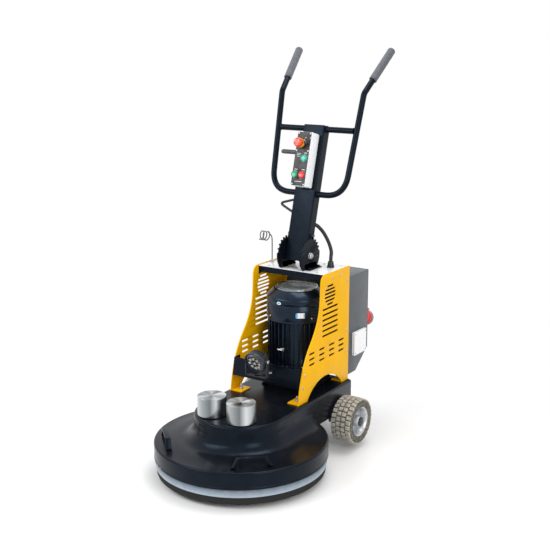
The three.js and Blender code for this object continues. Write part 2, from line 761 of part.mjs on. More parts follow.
function cabinetShell() {
  const { halfWidth, wall, end, top } = cabinet;
  const outer = acrossX(cabinetOutline(0), -halfWidth, halfWidth);
  const hollow = acrossX(cabinetOutline(wall), -halfWidth + wall, halfWidth - wall);
  const mouthHalf = halfWidth - wall - mouth.side;
  const mouthHeights = [cabinetFoot.sill + mouth.end, top - mouth.end];
  const opening = block([-mouthHalf, mouthHalf], [end - wall - 1, end + 1], mouthHeights);
  const [x, y] = hingePlace;
  const hinges = doorHinge.heights.map((z) => {
    const pin = cylinder(doorHinge.pin, z - 1, z + doorHinge.length, 12).translate(x, y, 0);
    const leaf = block([x - doorHinge.knuckle, -halfWidth + 1], [y - 16, end - 1], [z - doorHinge.length, z]);
    return joined(hingeHalf(z - doorHinge.length, z, [y - 2, y], x + 1), leaf, pin);
  });
  return part("cabinet_shell", joined(cut(outer, hollow, opening), ...hinges), greyPaint);
}

function doorGroup() {
  const { halfWidth, end, top } = cabinet;
  const back = end + gap;
  const [x, y] = hingePlace;
  const heights = [cabinetFoot.sill + door.aboveSill, top];
  const sheet = block([-halfWidth, halfWidth], [back, back + door.thickness], heights);
  const bore = cylinder(inlet.radius - 3, -10, 20).rotateX(-Math.PI / 2).translate(inlet.x, back, inlet.z);
  const hinges = doorHinge.heights.map((z) => {
    const hole = cylinder(doorHinge.pin + gap, z - 5, z + doorHinge.length + 5, 12).translate(x, y, 0);
    const z0 = z + gap;
    return cut(hingeHalf(z0, z0 + doorHinge.length, [y - 2, y + 2], -halfWidth + 1), hole);
  });
  const made = cut(joined(sheet, ...hinges), bore).translate(-x, -y, 0);
  return group("door_hinge", [x, y, 0], part("cabinet_door", made, greyPaint), ...inletPieces(x, y));
}

// The power inlet on the door: a flange and a socket body that slopes down, closed by a sprung flap.
function inletPieces(hingeX, hingeY) {
  const face = cabinet.end + gap + door.thickness + gap;
  const [fx, fy] = [inlet.x - hingeX, face - hingeY];
  const flange = block([-inlet.flange, inlet.flange], [0, inlet.thickness], [-inlet.flange, inlet.flange]);
  const tilt = rad(-inlet.tilt);
  const sloping = (geometry) => geometry.rotateX(-Math.PI / 2).rotateX(tilt);
  const shell = sloping(ring(inlet.radius, inlet.radius - inlet.wall, 0, inlet.length));
  const core = sloping(cylinder(inlet.core, 0, inlet.length - inlet.socket));
  const behindDoor = block([-80, 80], [-80, 0], [-80, 80]);
  const { half, depth, rise } = flapLug;
  const earHeights = [inlet.radius - 2, inlet.radius + rise - 2];
  const ear = block([-half, half], [inlet.length - depth, inlet.length], earHeights).rotateX(tilt);
  const body = cut(joined(shell, core, flange, ear), behindDoor);
  const lid = cylinder(inletCap.radius, 0, inletCap.thickness, medium).rotateX(-Math.PI / 2);
  const lug = block([-half, half], [0, inletCap.lug], [inlet.radius - 2, inlet.radius + rise + 3]);
  const flap = part("inlet_cap", joined(lid, lug).translate(0, 0, -inlet.radius - rise), greyPlastic);
  const hinge = group("flap_hinge", [0, 0, 0], flap);
  hinge.position.copy(xyz(0, inlet.length + gap, inlet.radius + rise).applyAxisAngle(xyz(1, 0, 0), tilt));
  hinge.rotation.x = tilt;
  return [group("inlet", [fx, fy, inlet.z], part("inlet_body", body, redPlastic), hinge)];
}

function cabinetFittings() {
  const inner = cabinet.front + cabinet.wall + gap;
  const { halfWidth, depth, bottom, top } = control;
  const unit = block([-halfWidth, halfWidth], [inner, inner + depth], [bottom, top]);
  const x0 = cabinet.halfWidth + gap;
  return [
    part("control_unit", unit, blackPlastic),
    part("side_box", block([x0, x0 + sideBox.depth], sideBox.y, sideBox.z), whitePlastic),
  ];
}

// ---- Wheels ----
function axlePiece() {
  const end = wheel.x + wheel.hubWidth / 2 - 6;
  const shaft = rod(wheel.axle, xyz(-end, wheel.y, wheel.radius), xyz(end, wheel.y, wheel.radius), coarse);
  const top = chassis.bottom - gap;
  const ears = [-1, 1].map((side) => {
    const x = side * axleBracket.x;
    const half = axleBracket.width / 2;
    const spanX = [x - axleBracket.thickness / 2, x + axleBracket.thickness / 2];
    return block(spanX, [wheel.y - half, wheel.y + half], [wheel.radius - 20, top]);
  });
  return part("axle", joined(shaft, ...ears), darkSteel);
}

function wheelGroup(side, word) {
  const halfTyre = wheel.width / 2;
  const halfHub = wheel.hubWidth / 2;
  const tread = wheel.radius;
  const tyre = turned([
    [wheel.rim + gap, -halfTyre + 4],
    [tread - 8, -halfTyre],
    [tread - 1, -halfTyre + 7],
    [tread, -7],
    [tread - 5, -5],
    [tread - 5, 5],
    [tread, 7],
    [tread - 1, halfTyre - 7],
    [tread - 8, halfTyre],
    [wheel.rim + gap, halfTyre - 4],
  ]).rotateY(Math.PI / 2);
  const bore = wheel.axle + gap;
  const rim = turned([
    [bore, -halfHub + 4],
    [bore + 12, -halfHub + 4],
    [bore + 12, -14],
    [wheel.rim - 8, -10],
    [wheel.rim - 6, -halfTyre + 4],
    [wheel.rim, -halfTyre + 4],
    [wheel.rim, halfTyre - 4],
    [wheel.rim - 6, halfTyre - 4],
    [wheel.rim - 8, 10],
    [bore + 12, 14],
    [bore + 12, halfHub - 4],
    [bore, halfHub - 4],
  ]).rotateY(Math.PI / 2);
  return group(
    `${word}_wheel_spin`,
    [side * wheel.x, wheel.y, wheel.radius],
    part(`tyre_${word}`, tyre, tyreRubber),
    part(`rim_${word}`, rim, steel),
  );
}

// ---- Mast pivot ----
const mastHalf = mast.width / 2;
const quadrantInner = mastHalf + quadrant.fromMast;
const plateTop = topFrame.top + gap + topPlate.thickness;

// A notched disc on a stem: the latch bar drops into its notches, one for each step of lean.
function quadrantPiece(name, side) {
  const { radius, tooth, thickness, waist, waistDrop } = quadrant;
  const inner = quadrantInner;
  const tip = radius + tooth;
  const crown = new THREE.Shape().absarc(pivot.y, pivot.z, tip, rad(-45), rad(225), false);
  const flat = acrossX(crown, inner, inner + thickness, 20);
  const base = plateTop + gap;
  const [start, end] = stem.span;
  const neck = pivot.z - waistDrop;
  const upright = acrossX(
    shapeOf([[start, base], [end, base], [pivot.y + waist, neck], [pivot.y - waist, neck]]),
    inner, inner + thickness,
  );
  const flange = block([inner, inner + stem.flange], stem.span, [base, base + stem.flangeThickness]);
  const notchFloor = latchHeight() - latch.bar - latch.raised - gap;
  const cuts = [];
  for (let i = 0; i < notches.count; i++) {
    const back = rad(lean + (i - notches.before) * notches.pitch);
    const notchBox = block([0, 100], [-notches.width / 2, notches.width / 2], [notchFloor, tip + 20]);
    cuts.push(notchBox.rotateX(-back).translate(0, pivot.y, pivot.z));
  }
  const hole = rod(pivot.bolt + gap, xyz(0, pivot.y, pivot.z), xyz(100, pivot.y, pivot.z), coarse);
  const made = cut(joined(flat, upright, flange), ...cuts, hole);
  if (side < 0) made.scale(-1, 1, 1);
  return part(name, side < 0 ? flipped(made) : made, blackPaint);
}

function pivotBolt() {
  const face = quadrantInner + quadrant.thickness + gap;
  const end = face + 9;
  const at = (x) => xyz(x, pivot.y, pivot.z);
  const shank = rod(pivot.bolt, at(-end), at(end), coarse);
  const heads = [-1, 1].map((side) => rod(pivot.head, at(side * face), at(side * end), 6));
  return part("pivot_bolt", joined(shank, ...heads), steel);
}

// ---- Mast: x across, y towards the operator, z up the mast from the pivot ----
function mastTube() {
  const { depth, wall, below, above } = mast;
  const half = depth / 2;
  const outer = block([-mastHalf, mastHalf], [-half, half], [-below, above]);
  const inner = block(
    [-mastHalf + wall, mastHalf - wall],
    [-half + wall, half - wall],
    [-below - 1, above - wall],
  );
  const across = (radius, z, y = 0) => rod(radius, xyz(-100, y, z), xyz(100, y, z), coarse);
  const barHole = bar.radius + gap;
  const latchD = latchHeight();
  const reach = latch.bar + gap;
  const slot = block([-100, 100], [-reach, reach], [latchD - latch.raised - reach - 2, latchD + reach + 2]);
  const peg = latch.pegRadius + gap;
  const pegSlot = block([-100, 0], [-peg, peg], [latch.pegD - latch.raised - peg - 2, latch.pegD + peg + 2]);
  const cable = rod(conduit.radius + gap, mastLocal(conduitRoute[0]), mastLocal(conduitRoute[1]), 16);
  const made = cut(
    outer, inner, across(pivot.bolt + gap, 0), across(barHole, bar.low), across(barHole, bar.cross),
    slot, pegSlot, cable,
  );
  return part("mast_tube", made, blackPaint);
}

// A point of the machine's frame in the leaning mast's own frame.
function mastLocal([x, y, z]) {
  return xyz(x, y - pivot.y, z - pivot.z).applyAxisAngle(xyz(1, 0, 0), rad(lean));
}

const latchHeight = () => quadrant.radius + quadrant.tooth + latch.bar + 1;

// The corner of the right handle arm and the direction from it to the grip's end.
function armBend() {
  const slope = (barHalf.cross - barHalf.low) / (bar.cross - bar.low);
  const bend = xyz(barHalf.cross + slope * (bar.bend - bar.cross), 0, bar.bend);
  const tip = mastLocal(barTip);
  return { bend, tip, along: tip.clone().sub(bend).normalize() };
}

function handlebarRoute() {
  const { bend, tip, along } = armBend();
  const half = [xyz(barHalf.low, 0, bar.low), bend, tip.addScaledVector(along, -grip.tubeEnd)];
  const other = half.map((p) => xyz(-p.x, p.y, p.z)).reverse();
  return roundedRoute([...other, ...half], [bar.elbow, bar.corner, bar.corner, bar.elbow]);
}

function handlebarPieces() {
  const made = tube(handlebarRoute(), bar.radius, bar.radius - bar.wall, 10);
  const cross = barHalf.cross - bar.radius - 1;
  const line = roundedRoute([xyz(-cross, 0, bar.cross), xyz(cross, 0, bar.cross)], 0);
  return [
    part("handlebar", made, blackPaint),
    part("crossbar", tube(line, bar.radius, bar.radius - bar.wall, 10), blackPaint),
  ];
}

function gripPiece(name, side) {
  const bore = bar.radius + gap;
  const { tip, along } = armBend();
  const profile = [[bore, 0], [grip.radius, 0], [grip.radius, grip.length - 8]];
  profile.push([grip.radius - 3, grip.length - 2], [grip.radius - 9, grip.length], [0, grip.length]);
  profile.push([0, grip.length - grip.tubeEnd + gap], [bore, grip.length - grip.tubeEnd + gap]);
  const sleeve = turned(rollToAxis(profile), coarse);
  const turn = new THREE.Quaternion().setFromUnitVectors(xyz(0, 0, 1), along);
  const start = tip.clone().addScaledVector(along, -grip.length);
  sleeve.applyQuaternion(turn).translate(start.x, start.y, start.z);
  if (side < 0) sleeve.scale(-1, 1, 1);
  const made = welded(sleeve);
  return part(name, side < 0 ? flipped(made) : made, gripFoam);
}

// The same closed outline, started at the last point on the axis so that both ends lie on the axis.
function rollToAxis(profile) {
  const last = profile.findLastIndex(([r]) => r === 0);
  return [...profile.slice(last), ...profile.slice(0, last)];
}

function controlBox() {
  const back = -mast.depth / 2 - gap;
  const front = back - box.depth;
  const body = block([-box.halfWidth, box.halfWidth], [front, back], [box.bottom, box.top]);
  const holes = switches().map(({ x, d, radius }) => {
    return rod(radius + gap, xyz(x, front - 1, d), xyz(x, front + box.holeDepth, d));
  });
  return part("control_box", cut(body, ...holes), whitePlastic);
}

// Each switch's place on the box and the radius of its stem.
function switches() {
  const { column, stem: radius } = button;
  return [
    { name: "e_stop_button", joint: "e_stop_press", x: stopHead.x, d: stopHead.d, radius: stopHead.stem },
    { name: "selector_knob", joint: "selector_turn", x: selector.x, d: selector.d, radius },
    { name: "start_button", joint: "start_press", x: column, d: buttonRows.start, radius },
    { name: "run_button", joint: "run_press", x: -column, d: buttonRows.lower, radius },
    { name: "stop_button", joint: "stop_press", x: column, d: buttonRows.lower, radius },
  ];
}

// Profiles run outwards from the box's face, along -Y once turned.
function switchProfiles() {
  const press = button.travel + 1;
  const headEnd = press + button.headLength;
  const plain = [
    [0, -20], [button.stem, -20], [button.stem, press], [button.head, press],
    [button.head, headEnd - 2], [button.head - 2, headEnd], [0, headEnd],
  ];
  const stopStart = stopHead.travel + 8;
  const stopEnd = stopStart + stopHead.length;
  const mushroom = [
    [0, -22], [stopHead.stem, -22], [stopHead.stem, stopStart], [stopHead.radius - 3, stopStart + 2],
    [stopHead.radius, stopStart + 8], [stopHead.radius - 3, stopEnd - 4], [stopHead.radius - 9, stopEnd],
    [0, stopEnd],
  ];
  const knob = [
    [0, -20], [button.stem, -20], [button.stem, 1], [selector.radius, 1],
    [selector.radius, selector.length - 8], [selector.radius - 2, selector.length - 6],
    [0, selector.length - 6],
  ];
  return { plain, mushroom, knob };
}

function switchPieces() {
  const face = -mast.depth / 2 - gap - box.depth;
  const { plain, mushroom, knob } = switchProfiles();
  const forwards = (geometry) => geometry.rotateX(Math.PI / 2);
  const reach = selector.radius - 1;
  const lever = block([-3, 3], [-reach, reach], [2, selector.length]).rotateZ(rad(selector.turned));
  const shapes = {
    e_stop_button: [forwards(turned(mushroom, coarse)), redPlastic],
    selector_knob: [forwards(joined(turned(knob, coarse), lever)), blackPlastic],
    start_button: [forwards(turned(plain, coarse)), greenPlastic],
    run_button: [forwards(turned(plain, coarse)), greenPlastic],
    stop_button: [forwards(turned(plain, coarse)), redPlastic],
  };
  return switches().map(({ name, joint, x, d }) => {
    const [shape, look] = shapes[name];
    return group(joint, [x, face, d], part(name, shape, look));
  });
}

// The latch: a bar behind both notched discs, its pull rod inside the mast and the peg that lifts it.
function latchPiece() {
  const d = latchHeight();
  const crossBar = rod(latch.bar, xyz(-latch.barEnd, 0, d), xyz(latch.barEnd, 0, d), 16);
  const y = latch.rodBack;
  const pull = rod(latch.rod, xyz(0, y, d), xyz(0, y, latch.pegD), 10);
  const link = block([-6, 6], [0, y + 2], [d - 5, d + 5]);
  const peg = rod(latch.pegRadius, xyz(-latch.pegEnd, 0, latch.pegD), xyz(6, 0, latch.pegD), 20);
  const pegLink = block([-6, 6], [0, y + 2], [latch.pegD - 5, latch.pegD + 5]);
  const shape = joined(crossBar, pull, link, peg, pegLink);
  return group("latch_slide", [0, 0, 0], part("latch", shape, blackPaint));
}

function cableHook() {
  const wall = -mastHalf - gap - hook.rod;
  const [tipX, tipD] = hook.tip;
  const route = roundedRoute([
    xyz(wall, 0, hook.top + hook.foot / 2),
    xyz(wall, 0, hook.top),
    xyz(tipX, 0, tipD),
    xyz(wall, 0, hook.bottom),
    xyz(wall, 0, hook.bottom - hook.foot / 2),
  ], 5, 4);
  return part("cable_hook", tube(route, hook.rod, 0, 8), blackPaint);
}

function mastGroup() {
  const made = group(
    "mast_tilt",
    [0, pivot.y, pivot.z],
    mastTube(),
    ...handlebarPieces(),
    gripPiece("grip_left", -1),
    gripPiece("grip_right", 1),
    controlBox(),
    ...switchPieces(),
    latchPiece(),
    cableHook(),
  );
  made.rotation.x = -rad(lean);
  return made;
}

// ---- Small fittings on the frame ----
function conduitPieces() {
  const base = plateTop + gap;
  const top = base + gland.height;
  const seat = [gland.x, gland.y, top + gap + 1.6];
  const points = [...conduitRoute, seat].map((p) => xyz(...p));
  const hose = tube(smoothRoute(points, 3), conduit.radius, 0, 10);
  const body = turned([
    [0, base], [gland.radius + 4, base], [gland.radius + 4, base + 7], [gland.radius, base + 9],
    [gland.radius, top - 6], [gland.radius - 3, top], [0, top],
  ], 12).translate(gland.x, gland.y, 0);
  return [part("conduit", hose, blackRubber), part("conduit_gland", body, blackPlastic)];
}

// A sprung wire eye that holds the supply cable up: a stem, a bend and an open coil.
function cableGuide() {
  const base = plateTop + gap;
  const points = [
    xyz(0, 0, base),
    xyz(0, 0, base + 40),
    xyz(0, 0, guide.rise - 24),
    xyz(-4, 0, guide.rise - 6),
  ];
  const start = -22;
  const steps = 12;
  for (let i = 0; i <= steps * guide.turns; i++) {
    const angle = (2 * Math.PI * i) / steps;
    const along = start - (guide.pitch * i) / steps;
    const up = guide.rise + guide.coil * (Math.cos(angle) - 1) + 10;
    points.push(xyz(along, guide.coil * Math.sin(angle), up));
  }
  const wire = tube(smoothRoute(points, 1), guide.rod, 0, 6);
  return group("guide_swivel", [guide.x, guide.y, 0], part("cable_guide", wire, steel));
}

// The work lamp's frame: z along its beam's axis, pointing back; it is turned to look forwards and down.
function lampGroup() {
  const { radius, length, fins } = lamp;
  const body = turned([
    [0, 0], [radius - 6, 0], [radius - 6, 2], [radius, 2], [radius, 16], [radius - 6, 22],
    [radius - 10, length - 8], [radius - 20, length], [0, length],
  ]);
  const ribs = [];
  for (let i = 0; i < fins; i++) {
    const x = (i - (fins - 1) / 2) * lamp.finPitch;
    const reach = Math.sqrt((radius - 6) ** 2 - x ** 2);
    ribs.push(block([x - 1.5, x + 1.5], [-reach, reach], [20, length + 6]));
  }
  const ears = [-1, 1].map((side) =>
    rod(5, xyz(side * (radius - 6), 0, 20), xyz(side * (radius + 5), 0, 20), 12),
  );
  const shape = joined(body, ...ribs, ...ears).translate(0, 0, -20).rotateX(-Math.PI / 2);
  const made = group("lamp_tilt", [lamp.x, lamp.y, lamp.z], part("work_lamp", shape, castAluminium));
  made.rotation.x = rad(lamp.tilt);
  return made;
}

function lampBracket() {
  const { x, y, z, radius, yoke } = lamp;
  const inner = radius + 1;
  const low = z - radius - 14;
  const legs = [-1, 1].map((side) => {
    const edges = [x + side * inner, x + side * (inner + yoke)].sort((a, b) => a - b);
    const leg = block(edges, [y - 9, y + 9], [low, z + 9]);
    const hole = rod(5 + gap, xyz(edges[0] - 1, y, z), xyz(edges[1] + 1, y, z), 16);
    return cut(leg, hole);
  });
  const base = block([x - inner - yoke, x + inner + yoke], [y - 9, y + 9], [low - yoke, low]);
  const tabEnd = low - yoke - 16;
  const plateFront = crossPlateFront(tabEnd) - gap;
  const arm = block([x - 14, x + 14], [y, plateFront], [low - yoke, low]);
  const tab = block([x - 22, x + 22], [plateFront - yoke, plateFront], [tabEnd, low]);
  return part("lamp_bracket", joined(...legs, base, arm, tab), steel);
}

// Where the leaning cross plate's front face is at a height.
function crossPlateFront(z) {
  const { top, bottom, topY, bottomY } = crossPlate;
  return bottomY + ((topY - bottomY) * (z - bottom)) / (top - bottom);
}

function weightGroup(side, word) {
  const base = housing.top + gap;
  const shape = turned([
    [0, 0], [weight.radius - 6, 0], [weight.radius - 6, 8], [weight.radius, 8],
    [weight.radius, weight.height - 1], [weight.radius - 1, weight.height], [0, weight.height],
  ]);
  const made = part(`weight_${word}`, shape, steel);
  return group(`${word}_weight_lift`, [side * weight.x, weight.y, base], made);
}

// ---- The machine ----
const machine = group(
  "floor_grinder",
  [0, 0, 0],
  deckShell(),
  skirtBand(),
  brushRing(),
  liftHandle("deck_handle_left", -1),
  liftHandle("deck_handle_right", 1),
  basePlate(),
  ...discDrive(),
  spindleGroup(),
  belt(),
  motorAdapter(),
  motorFrame(),
  statorRing(),
  rotorGroup(),
  fanCowl(),
  sidePlate("side_plate_left", -1),
  sidePlate("side_plate_right", 1),
  crossPlatePiece(),
  ...topPieces(),
  cabinetShell(),
  doorGroup(),
  ...cabinetFittings(),
  axlePiece(),
  wheelGroup(-1, "left"),
  wheelGroup(1, "right"),
  quadrantPiece("quadrant_left", -1),
  quadrantPiece("quadrant_right", 1),
  pivotBolt(),
  mastGroup(),
  ...conduitPieces(),
  cableGuide(),
  lampGroup(),
  lampBracket(),
  weightGroup(-1, "left"),
  weightGroup(1, "right"),
);
const bounds = new THREE.Box3().setFromObject(machine, true);
const middle = bounds.getCenter(new THREE.Vector3());
machine.position.set(-middle.x, -middle.y, -bounds.min.z);

export default machine;
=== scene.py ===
"""A walk-behind floor grinder and polisher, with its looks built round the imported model.

Shapes are made in millimetres, in one of two frames: the machine's, from the disc's axis on the floor, and
the mast's, from its pivot with Z up the mast. place= says which, and turns them to the frame's metres."""

import json
import math
import random

import bmesh
import bpy
from mathutils import Matrix, Vector


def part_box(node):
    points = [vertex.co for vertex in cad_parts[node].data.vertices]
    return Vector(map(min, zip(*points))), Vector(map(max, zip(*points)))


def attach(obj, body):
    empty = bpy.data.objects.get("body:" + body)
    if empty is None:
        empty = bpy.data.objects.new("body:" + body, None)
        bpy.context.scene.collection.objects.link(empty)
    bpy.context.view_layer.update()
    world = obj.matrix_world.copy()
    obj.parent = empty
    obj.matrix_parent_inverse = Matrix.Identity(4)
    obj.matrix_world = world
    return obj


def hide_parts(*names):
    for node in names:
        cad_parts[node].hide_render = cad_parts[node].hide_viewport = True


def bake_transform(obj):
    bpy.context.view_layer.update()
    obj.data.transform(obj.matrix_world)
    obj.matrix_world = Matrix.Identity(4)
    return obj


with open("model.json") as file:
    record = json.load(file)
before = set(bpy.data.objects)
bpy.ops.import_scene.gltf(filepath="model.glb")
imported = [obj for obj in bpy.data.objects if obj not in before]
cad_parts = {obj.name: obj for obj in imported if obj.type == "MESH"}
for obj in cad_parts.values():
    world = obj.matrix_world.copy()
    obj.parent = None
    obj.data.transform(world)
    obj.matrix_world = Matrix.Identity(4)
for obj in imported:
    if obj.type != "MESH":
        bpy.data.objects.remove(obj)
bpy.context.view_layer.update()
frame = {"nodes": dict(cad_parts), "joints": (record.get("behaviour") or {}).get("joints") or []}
random.seed(7)

MM = 0.001


# ---- The two frames ----
def middle(node):
    low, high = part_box(node)
    return (low + high) / 2


disc_axis = Vector((0, middle("driven_pulley").y, 0))
joints = {joint["name"]: joint for joint in frame["joints"]}
pivot = Vector(joints["mast_tilt"]["pos_m"])
lean = math.atan2(joints["latch_slide"]["axis"][1], joints["latch_slide"]["axis"][2])

MACHINE = Matrix.Translation(disc_axis) @ Matrix.Scale(MM, 4)
MAST = Matrix.Translation(pivot) @ Matrix.Rotation(-lean, 4, "X") @ Matrix.Scale(MM, 4)


def box_mm(node, place=MACHINE):
    """A CAD node's lowest and highest corners in millimetres, in the machine's frame or the mast's."""
    back = place.inverted()
    points = [back @ vertex.co for vertex in frame["nodes"][node].data.vertices]
    low = Vector([min(point[i] for point in points) for i in range(3)])
    high = Vector([max(point[i] for point in points) for i in range(3)])
    return low, high


# ---- Shapes ----
def strip(bm, first, second):
    """Faces between two rings of vertices; a ring of one vertex is a tip."""
    count = max(len(first), len(second))
    for i in range(count):
        j = (i + 1) % count
        corners = [first[i % len(first)], first[j % len(first)], second[j % len(second)],
                   second[i % len(second)]]
        unique = list(dict.fromkeys(corners))
        if len(unique) > 2:
            bm.faces.new(unique)


def lathe(profile, sides=72, closed=False):
    """Turned about Z from (radius, z) points."""
    bm = bmesh.new()
    rings = []
    for radius, z in profile:
        if radius < 1e-6:
            rings.append([bm.verts.new((0, 0, z))])
            continue
        turns = [2 * math.pi * i / sides for i in range(sides)]
        rings.append([bm.verts.new((radius * math.cos(a), radius * math.sin(a), z)) for a in turns])
    for first, second in zip(rings, rings[1:]):
        strip(bm, first, second)
    if closed:
        strip(bm, rings[-1], rings[0])
    return bm


def rounded(points, radius, steps=4, closed=True):
    """An outline of 2D or 3D points with its corners rounded."""
    points = [Vector(p) for p in points]
    count = len(points)
    made = []
    for i, corner in enumerate(points):
        if not closed and i in (0, count - 1):
            made.append(corner)
            continue
        before, after = points[i - 1] - corner, points[(i + 1) % count] - corner
        angle = before.angle(after)
        if angle > math.radians(178):
            made.append(corner)
            continue
        trim = min(radius / math.tan(angle / 2), before.length * 0.49, after.length * 0.49)
        start = corner + before.normalized() * trim
        end = corner + after.normalized() * trim
        for step in range(steps + 1):
            t = step / steps
            made.append(start * (1 - t) ** 2 + corner * 2 * t * (1 - t) + end * t * t)
    return made


def prism(outline, low, high):
    """A flat outline of (x, y) points raised from one z to another."""
    bm = bmesh.new()
    rings = [[bm.verts.new((p[0], p[1], z)) for p in outline] for z in (low, high)]
    strip(bm, *rings)
    for ring in rings:
        bm.faces.new(ring)
    return bm


def slab(low, high, edge=1.0, steps=2):
    """A block with rounded edges."""
    bm = prism([(low[0], low[1]), (high[0], low[1]), (high[0], high[1]), (low[0], high[1])], low[2], high[2])
    return softened(bm, edge, steps)


def softened(bm, width, steps=2, angle=35):
    bmesh.ops.recalc_face_normals(bm, faces=bm.faces)
    edges = [e for e in bm.edges if e.is_manifold and e.calc_face_angle(0) > math.radians(angle)]
    bmesh.ops.bevel(bm, geom=edges, offset=width, segments=steps, profile=0.6, affect="EDGES",
                    clamp_overlap=True)
    return bm


def plate(outlines, thickness, edge=0.6):
    """A sheet from a closed outline and the outlines of its holes, centred on z = 0."""
    curve = bpy.data.curves.new("outline", "CURVE")
    curve.dimensions = "2D"
    curve.fill_mode = "BOTH"
    curve.extrude = thickness / 2 - edge
    curve.bevel_depth = edge
    curve.bevel_resolution = 1
    curve.offset = -edge
    for outline in outlines:
        spline = curve.splines.new("POLY")
        spline.points.add(len(outline) - 1)
        for point, (x, y) in zip(spline.points, outline):
            point.co = (x, y, 0, 1)
        spline.use_cyclic_u = True
    holder = bpy.data.objects.new("outline", curve)
    bpy.context.scene.collection.objects.link(holder)
    bpy.context.view_layer.update()
    mesh = bpy.data.meshes.new_from_object(holder.evaluated_get(bpy.context.evaluated_depsgraph_get()))
    bm = bmesh.new()
    bm.from_mesh(mesh)
    bmesh.ops.remove_doubles(bm, verts=bm.verts, dist=1e-4)
    bpy.data.meshes.remove(mesh)
    bpy.data.objects.remove(holder)
    bpy.data.curves.remove(curve)
    return bm


def sweep(points, radius, sides=20, closed=False, ends=True):
    """A round bar along points; radius is one number, or one for each point."""
    points = [Vector(p) for p in points]
    radii = radius if isinstance(radius, list) else [radius] * len(points)
    bm = bmesh.new()
    rings = []
    tangent = (points[1] - points[0]).normalized()
    across = tangent.orthogonal().normalized()
    for i, point in enumerate(points):
        before, after = points[max(i - 1, 0)], points[min(i + 1, len(points) - 1)]
        turned = (after - before).normalized()
        across.rotate(tangent.rotation_difference(turned))
        tangent = turned
        other = tangent.cross(across)
        turns = [2 * math.pi * k / sides for k in range(sides)]
        rings.append([
            bm.verts.new(point + radii[i] * (across * math.cos(a) + other * math.sin(a))) for a in turns
        ])
    for first, second in zip(rings, rings[1:]):
        strip(bm, first, second)
    if closed:
        strip(bm, rings[-1], rings[0])
    elif ends:
        bm.faces.new(rings[0])
        bm.faces.new(rings[-1])
    return bm


def smooth_line(points, steps=8):
    """A Catmull-Rom curve through points."""
    points = [Vector(p) for p in points]
    padded = [2 * points[0] - points[1], *points, 2 * points[-1] - points[-2]]
    made = []
    for a, b, c, d in zip(padded, padded[1:], padded[2:], padded[3:]):
        for step in range(steps):
            t = step / steps
            made.append(0.5 * (2 * b + (c - a) * t + (2 * a - 5 * b + 4 * c - d) * t ** 2
                               + (3 * b - a - 3 * c + d) * t ** 3))
    return [*made, points[-1]]


def circle(x, y, radius, count=24, start=0.0, turn=2 * math.pi):
    full = abs(turn - 2 * math.pi) < 1e-6
    steps = count if full else count - 1
    return [(x + radius * math.cos(start + turn * i / steps),
             y + radius * math.sin(start + turn * i / steps))
            for i in range(count)]


def moved(bm, x=0.0, y=0.0, z=0.0, turn=None):
    matrix = Matrix.Translation((x, y, z)) @ (turn or Matrix.Identity(4))
    bm.transform(matrix)
    return bm


def joined(*shapes):
    whole = bmesh.new()
    for shape in shapes:
        held = bpy.data.meshes.new("held")
        shape.to_mesh(held)
        shape.free()
        whole.from_mesh(held)
        bpy.data.meshes.remove(held)
    return whole


def cut(bm, cutter):
    """The first shape with the second taken out."""
    objects = []
    for name, shape in (("body", bm), ("cutter", cutter)):
        bmesh.ops.recalc_face_normals(shape, faces=shape.faces)
        mesh = bpy.data.meshes.new(name)
        shape.to_mesh(mesh)
        shape.free()
        obj = bpy.data.objects.new(name, mesh)
        bpy.context.scene.collection.objects.link(obj)
        objects.append(obj)
    taken = objects[0].modifiers.new("taken", "BOOLEAN")
    taken.operation = "DIFFERENCE"
    taken.object = objects[1]
    bpy.context.view_layer.update()
    result = bpy.data.meshes.new_from_object(objects[0].evaluated_get(bpy.context.evaluated_depsgraph_get()))
    made = bmesh.new()
    made.from_mesh(result)
    bpy.data.meshes.remove(result)
    for obj in objects:
        mesh = obj.data
        bpy.data.objects.remove(obj)
        bpy.data.meshes.remove(mesh)
    return made


def turn_about(axis, degrees):
    return Matrix.Rotation(math.radians(degrees), 4, axis)


TO_Y = turn_about("X", -90)        # Z of a shape to +Y
TO_FRONT = turn_about("X", 90)     # Z of a shape to -Y
TO_X = turn_about("Y", 90)         # Z of a shape to +X
# A shape drawn as (y, z) and raised along x.
SIDEWAYS = Matrix(((0, 0, 1, 0), (1, 0, 0, 0), (0, 1, 0, 0), (0, 0, 0, 1)))


def outward(side):
    """Turns the Z of a shape to +X on the right side (1) and to -X on the left (-1)."""
    return TO_X if side > 0 else turn_about("Y", -90)


def piece(name, body, parts, place=MACHINE, replaces=(), smooth=40):
    """One object from (shape, material) parts, riding on a body, or on none where it is blended."""
    mesh = bpy.data.meshes.new(name)
    materials = list(dict.fromkeys(material for _, material in parts))
    for material in materials:
        mesh.materials.append(material)
    shapes = []
    for shape, material in parts:
        bmesh.ops.recalc_face_normals(shape, faces=shape.faces)
        for face in shape.faces:
            face.material_index = materials.index(material)
            face.smooth = True
        shapes.append(shape)
    whole = joined(*shapes)
    whole.transform(place)
    whole.to_mesh(mesh)
    whole.free()
    mesh.set_sharp_from_angle(angle=math.radians(smooth))
    obj = bpy.data.objects.new(name, mesh)
    bpy.context.scene.collection.objects.link(obj)
    if body:
        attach(obj, body)
    if replaces:
        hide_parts(*replaces)
    return obj


# ---- Materials ----
def linear(code):
    """An sRGB hex colour as linear red, green, blue and alpha."""
    channels = [int(code[i:i + 2], 16) / 255 for i in (1, 3, 5)]
    return [c / 12.92 if c <= 0.04045 else ((c + 0.055) / 1.055) ** 2.4 for c in channels] + [1.0]


def add(tree, kind, links=(), settings=(), **values):
    """Adds a node: links are (input, socket) pairs, settings (input, value) pairs, values its own options."""
    made = tree.nodes.new("ShaderNode" + kind)
    for key, value in values.items():
        setattr(made, key, value)
    for key, value in settings:
        made.inputs[key].default_value = value
    for key, socket in links:
        tree.links.new(socket, made.inputs[key])
    return made


